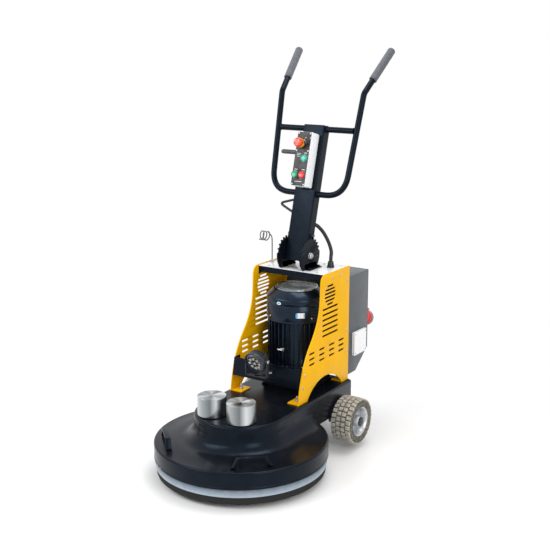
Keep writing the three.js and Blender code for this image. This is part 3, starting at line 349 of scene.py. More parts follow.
def start(name, code, roughness, metallic=0.0, **sockets):
    """A material with its shader and the place of each point in metres."""
    material = bpy.data.materials.new(name)
    material.use_nodes = True
    tree = material.node_tree
    tree.nodes.clear()
    shader = add(tree, "BsdfPrincipled")
    shader.inputs["Base Color"].default_value = linear(code)
    shader.inputs["Roughness"].default_value = roughness
    shader.inputs["Metallic"].default_value = metallic
    for key, value in sockets.items():
        shader.inputs[key.replace("_", " ")].default_value = value
    add(tree, "OutputMaterial", [("Surface", shader.outputs[0])])
    where = add(tree, "TexCoord").outputs["Object"]
    return material, tree, shader, where


def per_metre(size_mm):
    """A pattern's scale from the size of one of its marks."""
    return 1 / (size_mm * MM)


def tinted(tree, shader, where, low, high, size_mm, detail=3.0, contrast=(0.3, 0.7)):
    """The colour wanders between two tones over marks of a size."""
    cloud = add(tree, "TexNoise", [("Vector", where)], [("Scale", per_metre(size_mm)), ("Detail", detail)])
    ramp = add(tree, "ValToRGB", [("Fac", cloud.outputs["Fac"])])
    ramp.color_ramp.elements[0].position, ramp.color_ramp.elements[1].position = contrast
    ramp.color_ramp.elements[0].color = linear(low)
    ramp.color_ramp.elements[1].color = linear(high)
    tree.links.new(ramp.outputs["Color"], shader.inputs["Base Color"])
    return ramp


def uneven_gloss(tree, shader, where, low, high, size_mm):
    """Roughness between two values, as handling and wiping leave it."""
    cloud = add(tree, "TexNoise", [("Vector", where)], [("Scale", per_metre(size_mm)), ("Detail", 4.0)])
    span = add(tree, "MapRange", [("Value", cloud.outputs["Fac"])],
               [("From Min", 0.3), ("From Max", 0.7), ("To Min", low), ("To Max", high)])
    tree.links.new(span.outputs["Result"], shader.inputs["Roughness"])


def grain(tree, shader, where, size_mm, depth_mm, strength=0.5):
    """Fine relief of a size and depth."""
    cloud = add(tree, "TexNoise", [("Vector", where)], [("Scale", per_metre(size_mm)), ("Detail", 2.0)])
    bump = add(tree, "Bump", [("Height", cloud.outputs["Fac"])],
               [("Distance", depth_mm * MM), ("Strength", strength)])
    tree.links.new(bump.outputs["Normal"], shader.inputs["Normal"])


# A bluish tint on the reflections of the black finishes: a painted reflection colour, standing in for the
# bluish light in their gleams.
PAINTED_BLUE_REFLECTION = (0.5, 0.72, 1.0, 1.0)


def moulded_polyethylene():
    """Rotomoulded black polyethylene: satin, with a fine orange peel and faint handling marks."""
    made, tree, shader, where = start("moulded_polyethylene", "#0e1117", 0.24, Specular_IOR_Level=0.17,
                                      Specular_Tint=PAINTED_BLUE_REFLECTION)
    tinted(tree, shader, where, "#0c0e13", "#12151c", 60)
    uneven_gloss(tree, shader, where, 0.2, 0.28, 45)
    grain(tree, shader, where, 5, 0.12, 0.35)
    return made


def powder_coat(name, low, high, roughness, specular=0.5, tint=(1, 1, 1, 1)):
    """Baked powder coat: an even colour with the shallow peel of the cured powder."""
    made, tree, shader, where = start(name, low, roughness, Specular_IOR_Level=specular, Specular_Tint=tint)
    tinted(tree, shader, where, low, high, 90)
    uneven_gloss(tree, shader, where, roughness - 0.05, roughness + 0.06, 30)
    grain(tree, shader, where, 2.2, 0.08, 0.3)
    return made


def motor_enamel():
    """Sprayed blue-black enamel on cast and pressed iron: glossier than powder coat, with a little dust."""
    made, tree, shader, where = start("motor_enamel", "#0f141d", 0.2, Specular_IOR_Level=0.34,
                                      Specular_Tint=PAINTED_BLUE_REFLECTION)
    tinted(tree, shader, where, "#0e131b", "#161d29", 35)
    uneven_gloss(tree, shader, where, 0.15, 0.25, 18)
    grain(tree, shader, where, 1.8, 0.06, 0.3)
    return made


def turned_steel():
    """Bright steel turned on a lathe: fine rings, reflections that stand like a bow tie, and painted
    reflections, light and dark stripes in the colour by angle round the axis.
    """
    made, tree, shader, where = start("turned_steel", "#c6cacd", 0.28, 1.0, Anisotropic=0.75)
    # Painted reflections: the colour steps through light and dark tones by angle round the part's axis, as
    # streaks of reflected light.
    marks = add(tree, "TexCoord").outputs["Generated"]
    centred = add(tree, "VectorMath", [(0, marks)], [(1, (0.5, 0.5, 0.0))], operation="SUBTRACT")
    round_it = add(tree, "TexGradient", [("Vector", centred.outputs[0])], gradient_type="RADIAL")
    painted_reflection_bands = add(tree, "ValToRGB", [("Fac", round_it.outputs["Fac"])])
    tones = [(0.0, "#aeb3b5"), (0.07, "#83888b"), (0.15, "#c9cdce"), (0.24, "#9fa4a6"), (0.33, "#72777a"),
             (0.4, "#d3d6d7"), (0.5, "#94999c"), (0.58, "#b9bdbf"), (0.68, "#dde0e0"), (0.76, "#777c7f"),
             (0.86, "#c4c8ca"), (0.94, "#8a8f92"), (1.0, "#aeb3b5")]
    for at, tone in tones[1:-1]:
        painted_reflection_bands.color_ramp.elements.new(at).color = linear(tone)
    painted_reflection_bands.color_ramp.elements[0].color = linear(tones[0][1])
    painted_reflection_bands.color_ramp.elements[-1].color = linear(tones[-1][1])
    tree.links.new(painted_reflection_bands.outputs["Color"], shader.inputs["Base Color"])
    tangent = add(tree, "Tangent", direction_type="RADIAL", axis="Z")
    tree.links.new(tangent.outputs[0], shader.inputs["Tangent"])
    rings = add(tree, "TexWave", [("Vector", where)], [("Scale", per_metre(3.2)), ("Distortion", 1.2)],
                wave_type="BANDS", bands_direction="Z")
    span = add(tree, "MapRange", [("Value", rings.outputs["Fac"])], [("To Min", 0.2), ("To Max", 0.32)])
    tree.links.new(span.outputs["Result"], shader.inputs["Roughness"])
    return made


def zinc_plate(name="zinc_plate", low="#aeb2b6", high="#cfd2d4", roughness=0.26):
    """Bright zinc plate on small steel pieces, with a faint cloudiness."""
    made, tree, shader, where = start(name, low, roughness, 1.0)
    tinted(tree, shader, where, low, high, 6)
    uneven_gloss(tree, shader, where, roughness - 0.06, roughness + 0.1, 4)
    return made


def brushed_plate():
    """Polished steel disc on the cowl: brushed one way, with darker streaks."""
    made, tree, shader, where = start("brushed_plate", "#9fa4a8", 0.38, 0.6, Anisotropic=0.3)
    stretch = add(tree, "Mapping", [("Vector", where)], [("Scale", (0.06, 1.0, 1.0))])
    cloud = add(tree, "TexNoise", [("Vector", stretch.outputs[0])],
                [("Scale", per_metre(7)), ("Detail", 5.0)])
    ramp = add(tree, "ValToRGB", [("Fac", cloud.outputs["Fac"])])
    ramp.color_ramp.elements[0].position, ramp.color_ramp.elements[1].position = 0.38, 0.62
    ramp.color_ramp.elements[0].color = linear("#6a6f73")
    ramp.color_ramp.elements[1].color = linear("#a9aeb2")
    tree.links.new(ramp.outputs["Color"], shader.inputs["Base Color"])
    return made


def oiled_steel():
    """Plain steel inside the machine, under a film of oil."""
    made, tree, shader, where = start("oiled_steel", "#54585c", 0.42, 1.0)
    tinted(tree, shader, where, "#484c50", "#666a6e", 25)
    uneven_gloss(tree, shader, where, 0.3, 0.5, 12)
    grain(tree, shader, where, 3, 0.1, 0.3)
    return made


def cast_aluminium(name="cast_aluminium", low="#8d9194", high="#a9adb0", roughness=0.48, metallic=1.0):
    """Sand-cast aluminium: a matt, slightly pitted skin."""
    made, tree, shader, where = start(name, low, roughness, metallic)
    tinted(tree, shader, where, low, high, 12)
    uneven_gloss(tree, shader, where, roughness - 0.08, roughness + 0.08, 6)
    grain(tree, shader, where, 1.6, 0.25, 0.45)
    return made


def moulded_plastic(name, low, high, roughness, grain_mm=1.0):
    """Injection-moulded ABS: an even colour and a fine spark-eroded grain."""
    made, tree, shader, where = start(name, low, roughness)
    tinted(tree, shader, where, low, high, 40)
    uneven_gloss(tree, shader, where, roughness - 0.04, roughness + 0.05, 15)
    grain(tree, shader, where, grain_mm, 0.05, 0.3)
    return made


def skirt_rubber():
    """Blue-grey EPDM strip: smooth, pale along its lower lip and darker upwards under the deck's rim, a
    painted shade, with faint clouding.
    """
    made, tree, shader, where = start("skirt_rubber", "#5c6b7b", 0.42, Specular_IOR_Level=0.25)
    # Painted shade: the colour darkens from the lower lip up towards the rim, as the rim shades the strip; a
    # faint noise clouds the line.
    height = add(tree, "SeparateXYZ", [("Vector", where)]).outputs["Z"]
    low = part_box("skirt_band")[0]
    span = add(tree, "MapRange", [("Value", height)], [("From Min", low.z), ("From Max", low.z + 36 * MM)])
    cloud = add(tree, "TexNoise", [("Vector", where)], [("Scale", per_metre(22)), ("Detail", 4.0)])
    faint = add(tree, "Math", [(0, cloud.outputs["Fac"])], [(1, 0.3)], operation="MULTIPLY")
    mixed = add(tree, "Math", [(0, span.outputs["Result"]), (2, faint.outputs[0])], [(1, 0.75)],
                operation="MULTIPLY_ADD")
    ramp = add(tree, "ValToRGB", [("Fac", mixed.outputs[0])])
    ramp.color_ramp.elements[0].color = linear("#b3c1cf")
    ramp.color_ramp.elements[1].color = linear("#3a434d")
    tree.links.new(ramp.outputs["Color"], shader.inputs["Base Color"])
    grain(tree, shader, where, 2.5, 0.08, 0.3)
    return made


def foam_rubber(name="foam_rubber", low="#151515", high="#2e2e2d", cell_mm=2.6, depth_mm=0.9):
    """Open-cell sealing foam: pores painted darker than the lighter walls between them, a painted shade in
    the hollows.
    """
    made, tree, shader, where = start(name, low, 0.9, Specular_IOR_Level=0.25)
    # Painted shade: the colour is darkest at each cell's centre, where the bump sinks the pore.
    cells = add(tree, "TexVoronoi", [("Vector", where)], [("Scale", per_metre(cell_mm))])
    ramp = add(tree, "ValToRGB", [("Fac", cells.outputs["Distance"])])
    ramp.color_ramp.elements[0].color = linear(low)
    ramp.color_ramp.elements[1].color = linear(high)
    ramp.color_ramp.elements[1].position = 0.7
    tree.links.new(ramp.outputs["Color"], shader.inputs["Base Color"])
    bump = add(tree, "Bump", [("Height", cells.outputs["Distance"])],
               [("Distance", depth_mm * MM), ("Strength", 0.8)])
    tree.links.new(bump.outputs["Normal"], shader.inputs["Normal"])
    return made


def tread_rubber():
    """Worn tread blocks, ground pale by concrete dust."""
    made, tree, shader, where = start("tread_rubber", "#a39b88", 0.85, Specular_IOR_Level=0.3)
    tinted(tree, shader, where, "#928e84", "#c0bcb2", 9, 5.0, (0.35, 0.62))
    grain(tree, shader, where, 2, 0.4, 0.6)
    return made


def carcass_rubber():
    """The tyre under its tread: dark rubber with dust in its grooves."""
    made, tree, shader, where = start("carcass_rubber", "#3c3a34", 0.8, Specular_IOR_Level=0.3)
    tinted(tree, shader, where, "#4b4942", "#8a8576", 12, 5.0, (0.4, 0.75))
    grain(tree, shader, where, 3, 0.3, 0.5)
    return made


def grip_rubber():
    """Closed-cell foam grip: matt, with fine pores."""
    made, tree, shader, where = start("grip_rubber", "#43464b", 0.8, Sheen_Weight=0.3, Sheen_Roughness=0.5)
    tinted(tree, shader, where, "#484b51", "#5a5d64", 14)
    grain(tree, shader, where, 1.3, 0.3, 0.7)
    return made


def black_rubber():
    """Extruded black rubber and PVC: matt, with a slight bloom."""
    made, tree, shader, where = start("black_rubber", "#17181a", 0.6)
    tinted(tree, shader, where, "#141517", "#222427", 18)
    grain(tree, shader, where, 2, 0.1, 0.4)
    return made


def switch_plastic(name, low, high):
    """Glossy moulded thermoplastic of a switch's head."""
    made, tree, shader, where = start(name, low, 0.22, Coat_Weight=0.25, Coat_Roughness=0.12)
    tinted(tree, shader, where, low, high, 16)
    grain(tree, shader, where, 2.5, 0.03, 0.2)
    return made


def winding_copper():
    """Varnished copper turns, wound side by side."""
    made, tree, shader, where = start("winding_copper", "#a55a2a", 0.38, 0.9)
    wires = add(tree, "TexWave", [("Vector", where)], [("Scale", per_metre(9)), ("Distortion", 1.5)],
                wave_type="BANDS", bands_direction="Z")
    bump = add(tree, "Bump", [("Height", wires.outputs["Fac"])], [("Distance", 0.8 * MM), ("Strength", 0.7)])
    tree.links.new(bump.outputs["Normal"], shader.inputs["Normal"])
    tinted(tree, shader, where, "#8a4722", "#b9682f", 15)
    return made


def pad_fibre():
    """Non-woven polishing pad: matted nylon fibre."""
    made, tree, shader, where = start("pad_fibre", "#26231f", 0.95, Specular_IOR_Level=0.2)
    tinted(tree, shader, where, "#191714", "#3b3630", 4, 8.0)
    grain(tree, shader, where, 1.5, 0.8, 0.9)
    return made


def lens_polycarbonate():
    """Clear moulded lens with bright reflector cups behind it, seen as one silvery faceted face whose facets
    are painted lighter and darker as painted glints.
    """
    made, tree, shader, where = start("lens_polycarbonate", "#d8dce0", 0.12, 0.6, Coat_Weight=0.6,
                                      Coat_Roughness=0.05)
    # Painted glints: each facet takes its own tone between grey and near white, standing for the reflections
    # in the lens and its cups.
    facets = add(tree, "TexVoronoi", [("Vector", where)], [("Scale", per_metre(5.5))])
    ramp = add(tree, "ValToRGB", [("Fac", facets.outputs["Color"])])
    ramp.color_ramp.elements[0].color = linear("#8d949b")
    ramp.color_ramp.elements[1].color = linear("#f2f4f6")
    tree.links.new(ramp.outputs["Color"], shader.inputs["Base Color"])
    return made


def gloss_enamel():
    """White stove enamel on sheet: glossy and very even."""
    made, tree, shader, where = start("gloss_enamel", "#e3e5e6", 0.14, Coat_Weight=0.3, Coat_Roughness=0.05)
    tinted(tree, shader, where, "#dcdee0", "#eceded", 120)
    grain(tree, shader, where, 4, 0.04, 0.2)
    return made


POLYETHYLENE = moulded_polyethylene()
BLACK_COAT = powder_coat("black_powder_coat", "#0b0e14", "#10141c", 0.25, 0.14, PAINTED_BLUE_REFLECTION)
YELLOW_COAT = powder_coat("yellow_powder_coat", "#f1b302", "#f6b906", 0.32, 0.14)
GREY_COAT = powder_coat("grey_powder_coat", "#4d5156", "#565b60", 0.33, 0.35)
MOTOR = motor_enamel()
TURNED = turned_steel()
ZINC = zinc_plate()
CHROME = zinc_plate("chrome_plate", "#85898d", "#a9adb0", 0.14)
WIRE = zinc_plate("spring_wire", "#55595d", "#74787c", 0.22)
BRUSHED = brushed_plate()
OILED = oiled_steel()
CAST = cast_aluminium()
LAMP_CASTING = cast_aluminium("grey_lamp_casting", "#262b32", "#363c45", 0.42, 0.4)
RIM_CASTING = cast_aluminium("silver_rim_casting", "#b4b7ba", "#cdd0d2", 0.34, 0.9)
WHITE_ABS = moulded_plastic("white_abs", "#f3f4f6", "#f8f9fa", 0.4)
BLACK_ABS = moulded_plastic("black_abs", "#131417", "#1d1f22", 0.38)
GREY_ABS = moulded_plastic("grey_abs", "#76828a", "#88939a", 0.4)
RED_ABS = moulded_plastic("red_polyamide", "#c81f1b", "#d92a22", 0.3)
SKIRT = skirt_rubber()
FOAM = foam_rubber()
TREAD = tread_rubber()
CARCASS = carcass_rubber()
GRIP = grip_rubber()
PEG = moulded_plastic("peg_nylon", "#3a4244", "#475052", 0.42)
RUBBER = black_rubber()
STOP_RED = switch_plastic("emergency_red", "#ee3f22", "#f4502f")
STOP_YELLOW = switch_plastic("collar_yellow", "#f0b323", "#f6c03a")
TEAL = switch_plastic("start_green", "#2bab8f", "#3bbb9f")
GREEN = switch_plastic("run_green", "#1f9a6c", "#2bab7a")
RED = switch_plastic("stop_red", "#dd1b22", "#e8262b")
COPPER = winding_copper()
PAD = pad_fibre()
LENS = lens_polycarbonate()
ENAMEL = gloss_enamel()
MARK_WHITE = moulded_plastic("printed_white", "#e9eaec", "#f3f4f5", 0.35)
MARK_BLUE = moulded_plastic("printed_blue", "#3aa0d8", "#52b0e2", 0.35)


# ---- Small fittings that repeat ----
def bolt_head(size, height):
    """A hexagon head with a chamfered top, standing on z = 0."""
    across = size / math.cos(math.pi / 6)
    head = lathe([(0, 0), (across, 0), (across, height * 0.8), (across * 0.86, height), (0, height)], 6)
    return softened(head, 0.3, 1, 20)


def pan_screw(radius, height, place, metal=ZINC, recess=BLACK_ABS):
    """A domed screw head with a cross recess, standing on a place's z = 0, as (shape, material) pairs."""
    dome = lathe([(0, 0), (radius, 0), (radius, height * 0.35), (radius * 0.86, height * 0.75),
                  (radius * 0.55, height), (0, height)], 24)
    slot = [slab((-radius * 0.5, -radius * 0.1, height * 0.9), (radius * 0.5, radius * 0.1, height * 1.04),
                 0.1, 1)
            for _ in range(2)]
    moved(slot[1], turn=turn_about("Z", 90))
    cross = joined(*slot)
    dome.transform(place)
    cross.transform(place)
    return [(dome, metal), (cross, recess)]


def washer(radius, bore, height):
    ring = lathe([(bore, 0), (radius, 0), (radius, height), (bore, height)], 32, closed=True)
    return softened(ring, min(0.4, height / 3), 1)


# ---- Deck ----
DECK_LOW, DECK_HIGH = box_mm("deck_shell")
DECK_RADIUS = DECK_HIGH.x
HOUSING_TOP = DECK_HIGH.z
HOUSING_END = DECK_HIGH.y
HOUSING_HALF = 188
HOUSING_ROUND = 10
TAIL_BOTTOM = 125
RIM_BOTTOM = DECK_LOW.z
RIM_TOP = 132
RIM_ROUND = 8
DOME_EDGE = 142
FLARE = 55
DECK_WALL = 5


def smoothstep(low, high, value):
    t = min(max((value - low) / (high - low), 0), 1)
    return t * t * (3 - 2 * t)


def deck_height(x, y):
    """The top's height outside the housing: a gentle fall to the rim, flared up to the housing."""
    outside = (math.hypot(x, y) if y < 0 else abs(x)) - HOUSING_HALF
    inside = DECK_RADIUS - math.hypot(x, y)
    run = DECK_RADIUS - RIM_ROUND - HOUSING_HALF - FLARE
    base = RIM_TOP + (DOME_EDGE - RIM_TOP) * smoothstep(0, run, inside - RIM_ROUND)
    if outside >= FLARE:
        return base
    sweep_up = FLARE - math.sqrt(FLARE ** 2 - (FLARE - max(outside, 0)) ** 2)
    return base + sweep_up * smoothstep(0, 34, inside - RIM_ROUND)


def deck_top():
    """The top between the housing's wall and the rim, as a thin closed skin."""
    reach = DECK_RADIUS - RIM_ROUND
    flat_end = math.sqrt(reach ** 2 - HOUSING_HALF ** 2)
    lines = []
    for i in range(12):
        y = flat_end * (1 - i / 12)
        lines.append(((-HOUSING_HALF, y), (-math.sqrt(reach ** 2 - y ** 2), y)))
    for i in range(97):
        angle = math.pi + math.pi * i / 96
        out = Vector((math.cos(angle), math.sin(angle)))
        lines.append((out * HOUSING_HALF, out * reach))
    for i in range(1, 13):
        y = flat_end * i / 12
        lines.append(((HOUSING_HALF, y), (math.sqrt(reach ** 2 - y ** 2), y)))
    shares = [0, 0.01, 0.03, 0.06, 0.1, 0.15, 0.2, 0.26, 0.32, 0.39, 0.48, 0.6, 0.74, 0.88, 1]
    bm = bmesh.new()
    top, under = [], []
    for inner, outer in lines:
        inner, outer = Vector(inner), Vector(outer)
        row = [inner.lerp(outer, share) for share in shares]
        top.append([bm.verts.new((p.x, p.y, deck_height(p.x, p.y))) for p in row])
        under.append([bm.verts.new((p.x, p.y, deck_height(p.x, p.y) - DECK_WALL)) for p in row])
    for a, b, c, d in zip(top, top[1:], under, under[1:]):
        for i in range(len(shares) - 1):
            bm.faces.new((a[i], b[i], b[i + 1], a[i + 1]))
            bm.faces.new((c[i], c[i + 1], d[i + 1], d[i]))
        bm.faces.new((a[0], c[0], d[0], b[0]))
        bm.faces.new((a[-1], b[-1], d[-1], c[-1]))
    for rim in ((top[0], under[0]), (top[-1], under[-1])):
        for i in range(len(shares) - 1):
            bm.faces.new((rim[0][i], rim[0][i + 1], rim[1][i + 1], rim[1][i]))
    return bm


def deck_rim():
    """The rim: a rolled lip at the bottom, an upright wall and a rounded shoulder."""
    radius, wall = DECK_RADIUS, DECK_WALL
    shoulder = [(radius - RIM_ROUND + RIM_ROUND * math.cos(a), RIM_TOP - RIM_ROUND + RIM_ROUND * math.sin(a))
                for a in (math.radians(9 * i) for i in range(11))]
    inner = radius - wall
    profile = [(inner, RIM_BOTTOM + 1), (inner + 1, RIM_BOTTOM), (radius - 1, RIM_BOTTOM),
               (radius, RIM_BOTTOM + 1),
               (radius, RIM_BOTTOM + 8), (radius - 1, RIM_BOTTOM + 9.5), *shoulder,
               (radius - RIM_ROUND, RIM_TOP - wall), (inner - 8, RIM_TOP - RIM_ROUND)]
    return lathe(profile, 180, closed=True)


def housing_outline(half, end):
    turns = [math.pi + math.pi * i / 72 for i in range(73)]
    side = [(half * math.cos(a), half * math.sin(a)) for a in turns]
    corner = min(18, half / 4)
    right = [(half, end - corner), (half - corner * 0.3, end - corner * 0.3), (half - corner, end)]
    left = [(-x, y) for x, y in reversed(right)]
    return side + right + left


def deck_housing():
    """The belt housing: a round-nosed box with a soft top edge and an open bottom."""
    bm = bmesh.new()
    rings = []
    for inset in (0, DECK_WALL):
        outer = HOUSING_HALF - inset
        top = HOUSING_TOP - inset
        round_off = HOUSING_ROUND - inset / 2
        bottom = TAIL_BOTTOM
        levels = [(0, bottom), (0, top - round_off)]
        levels += [(round_off * (1 - math.cos(a)), top - round_off * (1 - math.sin(a)))
                   for a in (math.radians(15 * i) for i in range(1, 7))]
        levels += [(round_off + 6, top), (round_off + 40, top)]
        made = []
        for back, z in levels:
            end = HOUSING_END - inset - back
            made.append([bm.verts.new((x, y, z)) for x, y in housing_outline(outer - back, end)])
        for first, second in zip(made, made[1:]):
            strip(bm, first, second)
        bm.faces.new(made[-1])
        rings.append(made[0])
    strip(bm, *rings)
    return bm


def deck():
    piece("deck_cover", "chassis", [
        (joined(deck_top(), deck_rim(), deck_housing()), POLYETHYLENE),
    ], replaces=["deck_shell"], smooth=32)


def skirt_and_ring():
    low, high = box_mm("skirt_band")
    outer, wall = high.x, 4
    lip = 2.2
    profile = [(outer - wall, low.z + 2), (outer - wall / 2, low.z), (outer - 0.6, low.z + 0.8),
               (outer, low.z + 3),
               (outer, low.z + 9), (outer - 0.9, low.z + 10.5), (outer - 0.3, low.z + 12),
               (outer, RIM_BOTTOM - 3),
               (outer - lip, RIM_BOTTOM + 2), (outer - lip, high.z - 2), (outer - wall, high.z - 2)]
    piece("rubber_skirt", "chassis", [(lathe(profile, 180, closed=True), SKIRT)],
          replaces=["skirt_band"])
    ring_high = box_mm("brush_ring")[1]
    radius, width, top = ring_high.x, 22, ring_high.z
    face = lathe([(radius - width, 0.5), (radius - width + 2, 0), (radius - 4, 0), (radius - 1.5, 2),
                  (radius, 6),
                  (radius, 16), (radius - 1, 18), (radius, 20), (radius, top - 2), (radius - 1, top),
                  (radius - width, top)], 220, closed=True)
    for vertex in face.verts:
        if vertex.co.z > 1:
            push = 1 + random.uniform(-0.0022, 0.0)
            vertex.co.x *= push
            vertex.co.y *= push
    piece("sealing_ring", "chassis", [(face, FOAM)], replaces=["brush_ring"], smooth=60)
    clamps = []
    for degrees in (-124, -119):
        a = math.radians(degrees)
        spot = Matrix.Translation((math.cos(a) * (DECK_RADIUS - 1.1), math.sin(a) * (DECK_RADIUS - 1.1),
                                   RIM_BOTTOM + 4.5))
        clamps += pan_screw(4, 1.6, spot @ turn_about("Z", degrees) @ TO_X)
    piece("skirt_screws", "chassis", clamps)


def lifting_handles():
    """Bent flat-bar handles; the bolts through their feet are not drawn."""
    for node, side in (("deck_handle_left", -1), ("deck_handle_right", 1)):
        low, high = box_mm(node)
        centre = (low + high) / 2
        foot, top, height, strap, t = 70, 54, 40, 22, 5
        outer = [(-foot - 10, 0), (-foot + t, 0), (-top + t, height - t), (top - t, height - t),
                 (foot - t, 0),
                 (foot + 10, 0), (foot + 10, t), (foot + t / 2, t), (top + t / 2, height),
                 (-top - t / 2, height),
                 (-foot - t / 2, t), (-foot - 10, t)]
        outline = [*outer[:1], *rounded(outer[1:5], 6, 3, closed=False), *outer[5:7],
                   *rounded(outer[7:11], 9, 4, closed=False), *outer[11:]]
        bar = softened(prism(outline, -strap / 2, strap / 2), 1.0, 2)
        turn = Matrix.Translation((centre.x, centre.y, low.z)) @ turn_about("Z", side * 43)
        bar.transform(turn @ TO_FRONT)
        piece(f"lifting_handle_{'left' if side < 0 else 'right'}", "chassis",
              [(bar, BLACK_COAT)],
              replaces=[node])


def ballast_weights():
    for word in ("left", "right"):
        low, high = box_mm(f"weight_{word}")
        radius = (high.x - low.x) / 2
        centre = (low + high) / 2
        foot, top = low.z + 3, high.z
        steel = lathe([(0, foot), (radius - 1, foot), (radius, foot + 1), (radius, top - 1.6),
                       (radius - 1.6, top),
                       (2, top), (1, top - 0.8), (0, top - 0.8)], 96)
        seat = lathe([(0, low.z), (radius - 3, low.z), (radius - 2, low.z + 1), (radius - 2, foot),
                      (0, foot)], 64)
        piece(f"ballast_{word}", f"weight_{word[0]}", [
            (moved(steel, centre.x, centre.y), TURNED),
            (moved(seat, centre.x, centre.y), RUBBER),
        ], replaces=[f"weight_{word}"])


# ---- Motor ----
MOTOR_LOW, MOTOR_HIGH = box_mm("motor_frame")
MOTOR_Y = (MOTOR_LOW.y + MOTOR_HIGH.y) / 2
FIN_REACH = MOTOR_HIGH.x
MOTOR_BODY = 108


def motor_casing():
    """The cast frame: a round body with upright cooling fins, a bolted foot flange and an eyebolt."""
    low, high = MOTOR_LOW.z, MOTOR_HIGH.z
    flange = 125
    body = lathe([(20, low), (flange - 1, low), (flange, low + 1), (flange, low + 11),
                  (flange - 1, low + 12),
                  (MOTOR_BODY + 2, low + 14), (MOTOR_BODY, low + 17), (MOTOR_BODY, high - 20),
                  (MOTOR_BODY + 4, high - 17), (MOTOR_BODY + 14, high - 16), (FIN_REACH + 1.5, high - 14),
                  (FIN_REACH + 1.5, high), (20, high)], 96, closed=True)
    fins = []
    count = 34
    for i in range(count):
        outline = [(MOTOR_BODY - 3, -2.2), (FIN_REACH - 2, -1.1), (FIN_REACH - 2, 1.1),
                   (MOTOR_BODY - 3, 2.2)]
        fin = softened(prism(outline, low + 12, high - 15), 0.7, 1)
        fins.append(moved(fin, turn=turn_about("Z", 360 * i / count)))
    shapes = [(moved(joined(body, *fins), y=MOTOR_Y), MOTOR)]
    for i in range(4):
        a = math.radians(45 + 90 * i)
        bolt = moved(bolt_head(6.5, 5.5), 116 * math.cos(a), MOTOR_Y + 116 * math.sin(a), low + 12)
        shapes.append((bolt, ZINC))
    piece("motor_casing", "chassis", shapes, replaces=["motor_frame"])
    turns = [2 * math.pi * i / 32 for i in range(32)]
    ring = sweep([(13 * math.cos(a), 0, 13 * math.sin(a)) for a in turns],
                 3.6, 12, closed=True)
    shank = lathe([(0, -26), (4, -26), (4, -14), (8, -13), (8, -11), (4, -10), (0, -10)], 20)
    eye = joined(ring, shank)
    reach = MOTOR_BODY + 24
    eye.transform(Matrix.Translation((6, MOTOR_Y - reach, 424)) @ turn_about("Z", -25) @ turn_about("X", 78))
    piece("motor_eyebolt", "chassis", [(eye, ZINC)])


def cooling_cowl():
    """Pressed fan cowl: upright band, rolled groove, cone and a brushed cap in a plated rim."""
    low, high = box_mm("fan_cowl")
    radius, top = high.x, high.z
    cone_low, cone_high, cone = 636, 666, 94
    badge = 91
    band = lathe([(radius - 2, low.z), (radius - 0.4, low.z), (radius, low.z + 1), (radius, 606),
                  (radius - 1.6, 608),
                  (radius - 1.6, 611), (radius, 613), (radius, cone_low - 4), (radius - 1.2, cone_low - 1),
                  (radius - 4, cone_low + 3), (cone + 5, cone_high - 2), (cone, cone_high), (0, cone_high),
                  (0, cone_high - 2), (cone - 1, cone_high - 2), (radius - 4, cone_low),
                  (radius - 2, cone_low - 4)], 120)
    chrome = lathe([(badge - 6, cone_high - 0.5), (badge, cone_high - 0.5), (badge, top - 1.5),
                    (badge - 1.5, top),
                    (badge - 5, top), (badge - 6, top - 1)], 120, closed=True)
    disc = lathe([(0, cone_high - 0.5), (badge - 6.5, cone_high - 0.5), (badge - 6.5, top - 2),
                  (badge - 9, top - 1.2),
                  (64, top - 1.2), (63, top - 2), (61, top - 2), (60, top - 1.2), (30, top - 1.2),
                  (29, top - 0.4),
                  (0, top - 0.4)], 120)
    shapes = [(moved(band, y=MOTOR_Y), MOTOR), (moved(chrome, y=MOTOR_Y), CHROME),
              (moved(disc, y=MOTOR_Y), BRUSHED)]
    piece("cooling_cowl", "chassis", shapes, replaces=["fan_cowl"])
    fixings = []
    for degrees in (-118, -28, 62, 152):
        spot = Matrix.Translation((0, MOTOR_Y, low.z + 12)) @ turn_about("Z", degrees)
        fixings += pan_screw(4.2, 2.4, spot @ Matrix.Translation((radius - 0.3, 0, 0)) @ TO_X)
    piece("cowl_screws", "chassis", fixings)


def wrapped_label(radius, degrees, width, low, high, oval=False):
    """A thin label bent round the cowl: width along the curve, between two heights."""
    bm = bmesh.new()
    steps = 18
    rows = []
    for lift in (0.1, 0.5):
        bottom_row, top_row = [], []
        for i in range(steps + 1):
            share = i / steps * 2 - 1
            a = math.radians(degrees) + share * width / 2 / radius
            half = (high - low) / 2 * (math.sqrt(max(1 - share * share, 0.003)) if oval else 1)
            r = radius + lift
            for row, z in ((bottom_row, (low + high) / 2 - half), (top_row, (low + high) / 2 + half)):
                row.append(bm.verts.new((r * math.cos(a), r * math.sin(a) + MOTOR_Y, z)))
        rows.append(bottom_row + top_row[::-1])
    for ring in rows:
        for i in range(steps):
            bm.faces.new((ring[i], ring[i + 1], ring[-2 - i], ring[-1 - i]))
    strip(bm, *rows)
    return bm


def cowl_labels():
    """A plain oval mark and a plain two-tone plate, with nothing printed that reads."""
    radius = box_mm("fan_cowl")[1].x
    rim = wrapped_label(radius, -93, 21, 614, 627, oval=True)
    plain = wrapped_label(radius + 0.5, -93, 14, 617, 624, oval=True)
    plate_shape = wrapped_label(radius, -50, 34, 562, 584)
    shapes = [(rim, MARK_WHITE), (plain, MARK_BLUE), (plate_shape, MARK_WHITE),
              (wrapped_label(radius + 0.5, -57.5, 8, 563, 583), MARK_BLUE),
              (wrapped_label(radius + 0.5, -43.5, 3.4, 564, 582), MARK_BLUE)]
    piece("cowl_labels", "chassis", shapes)


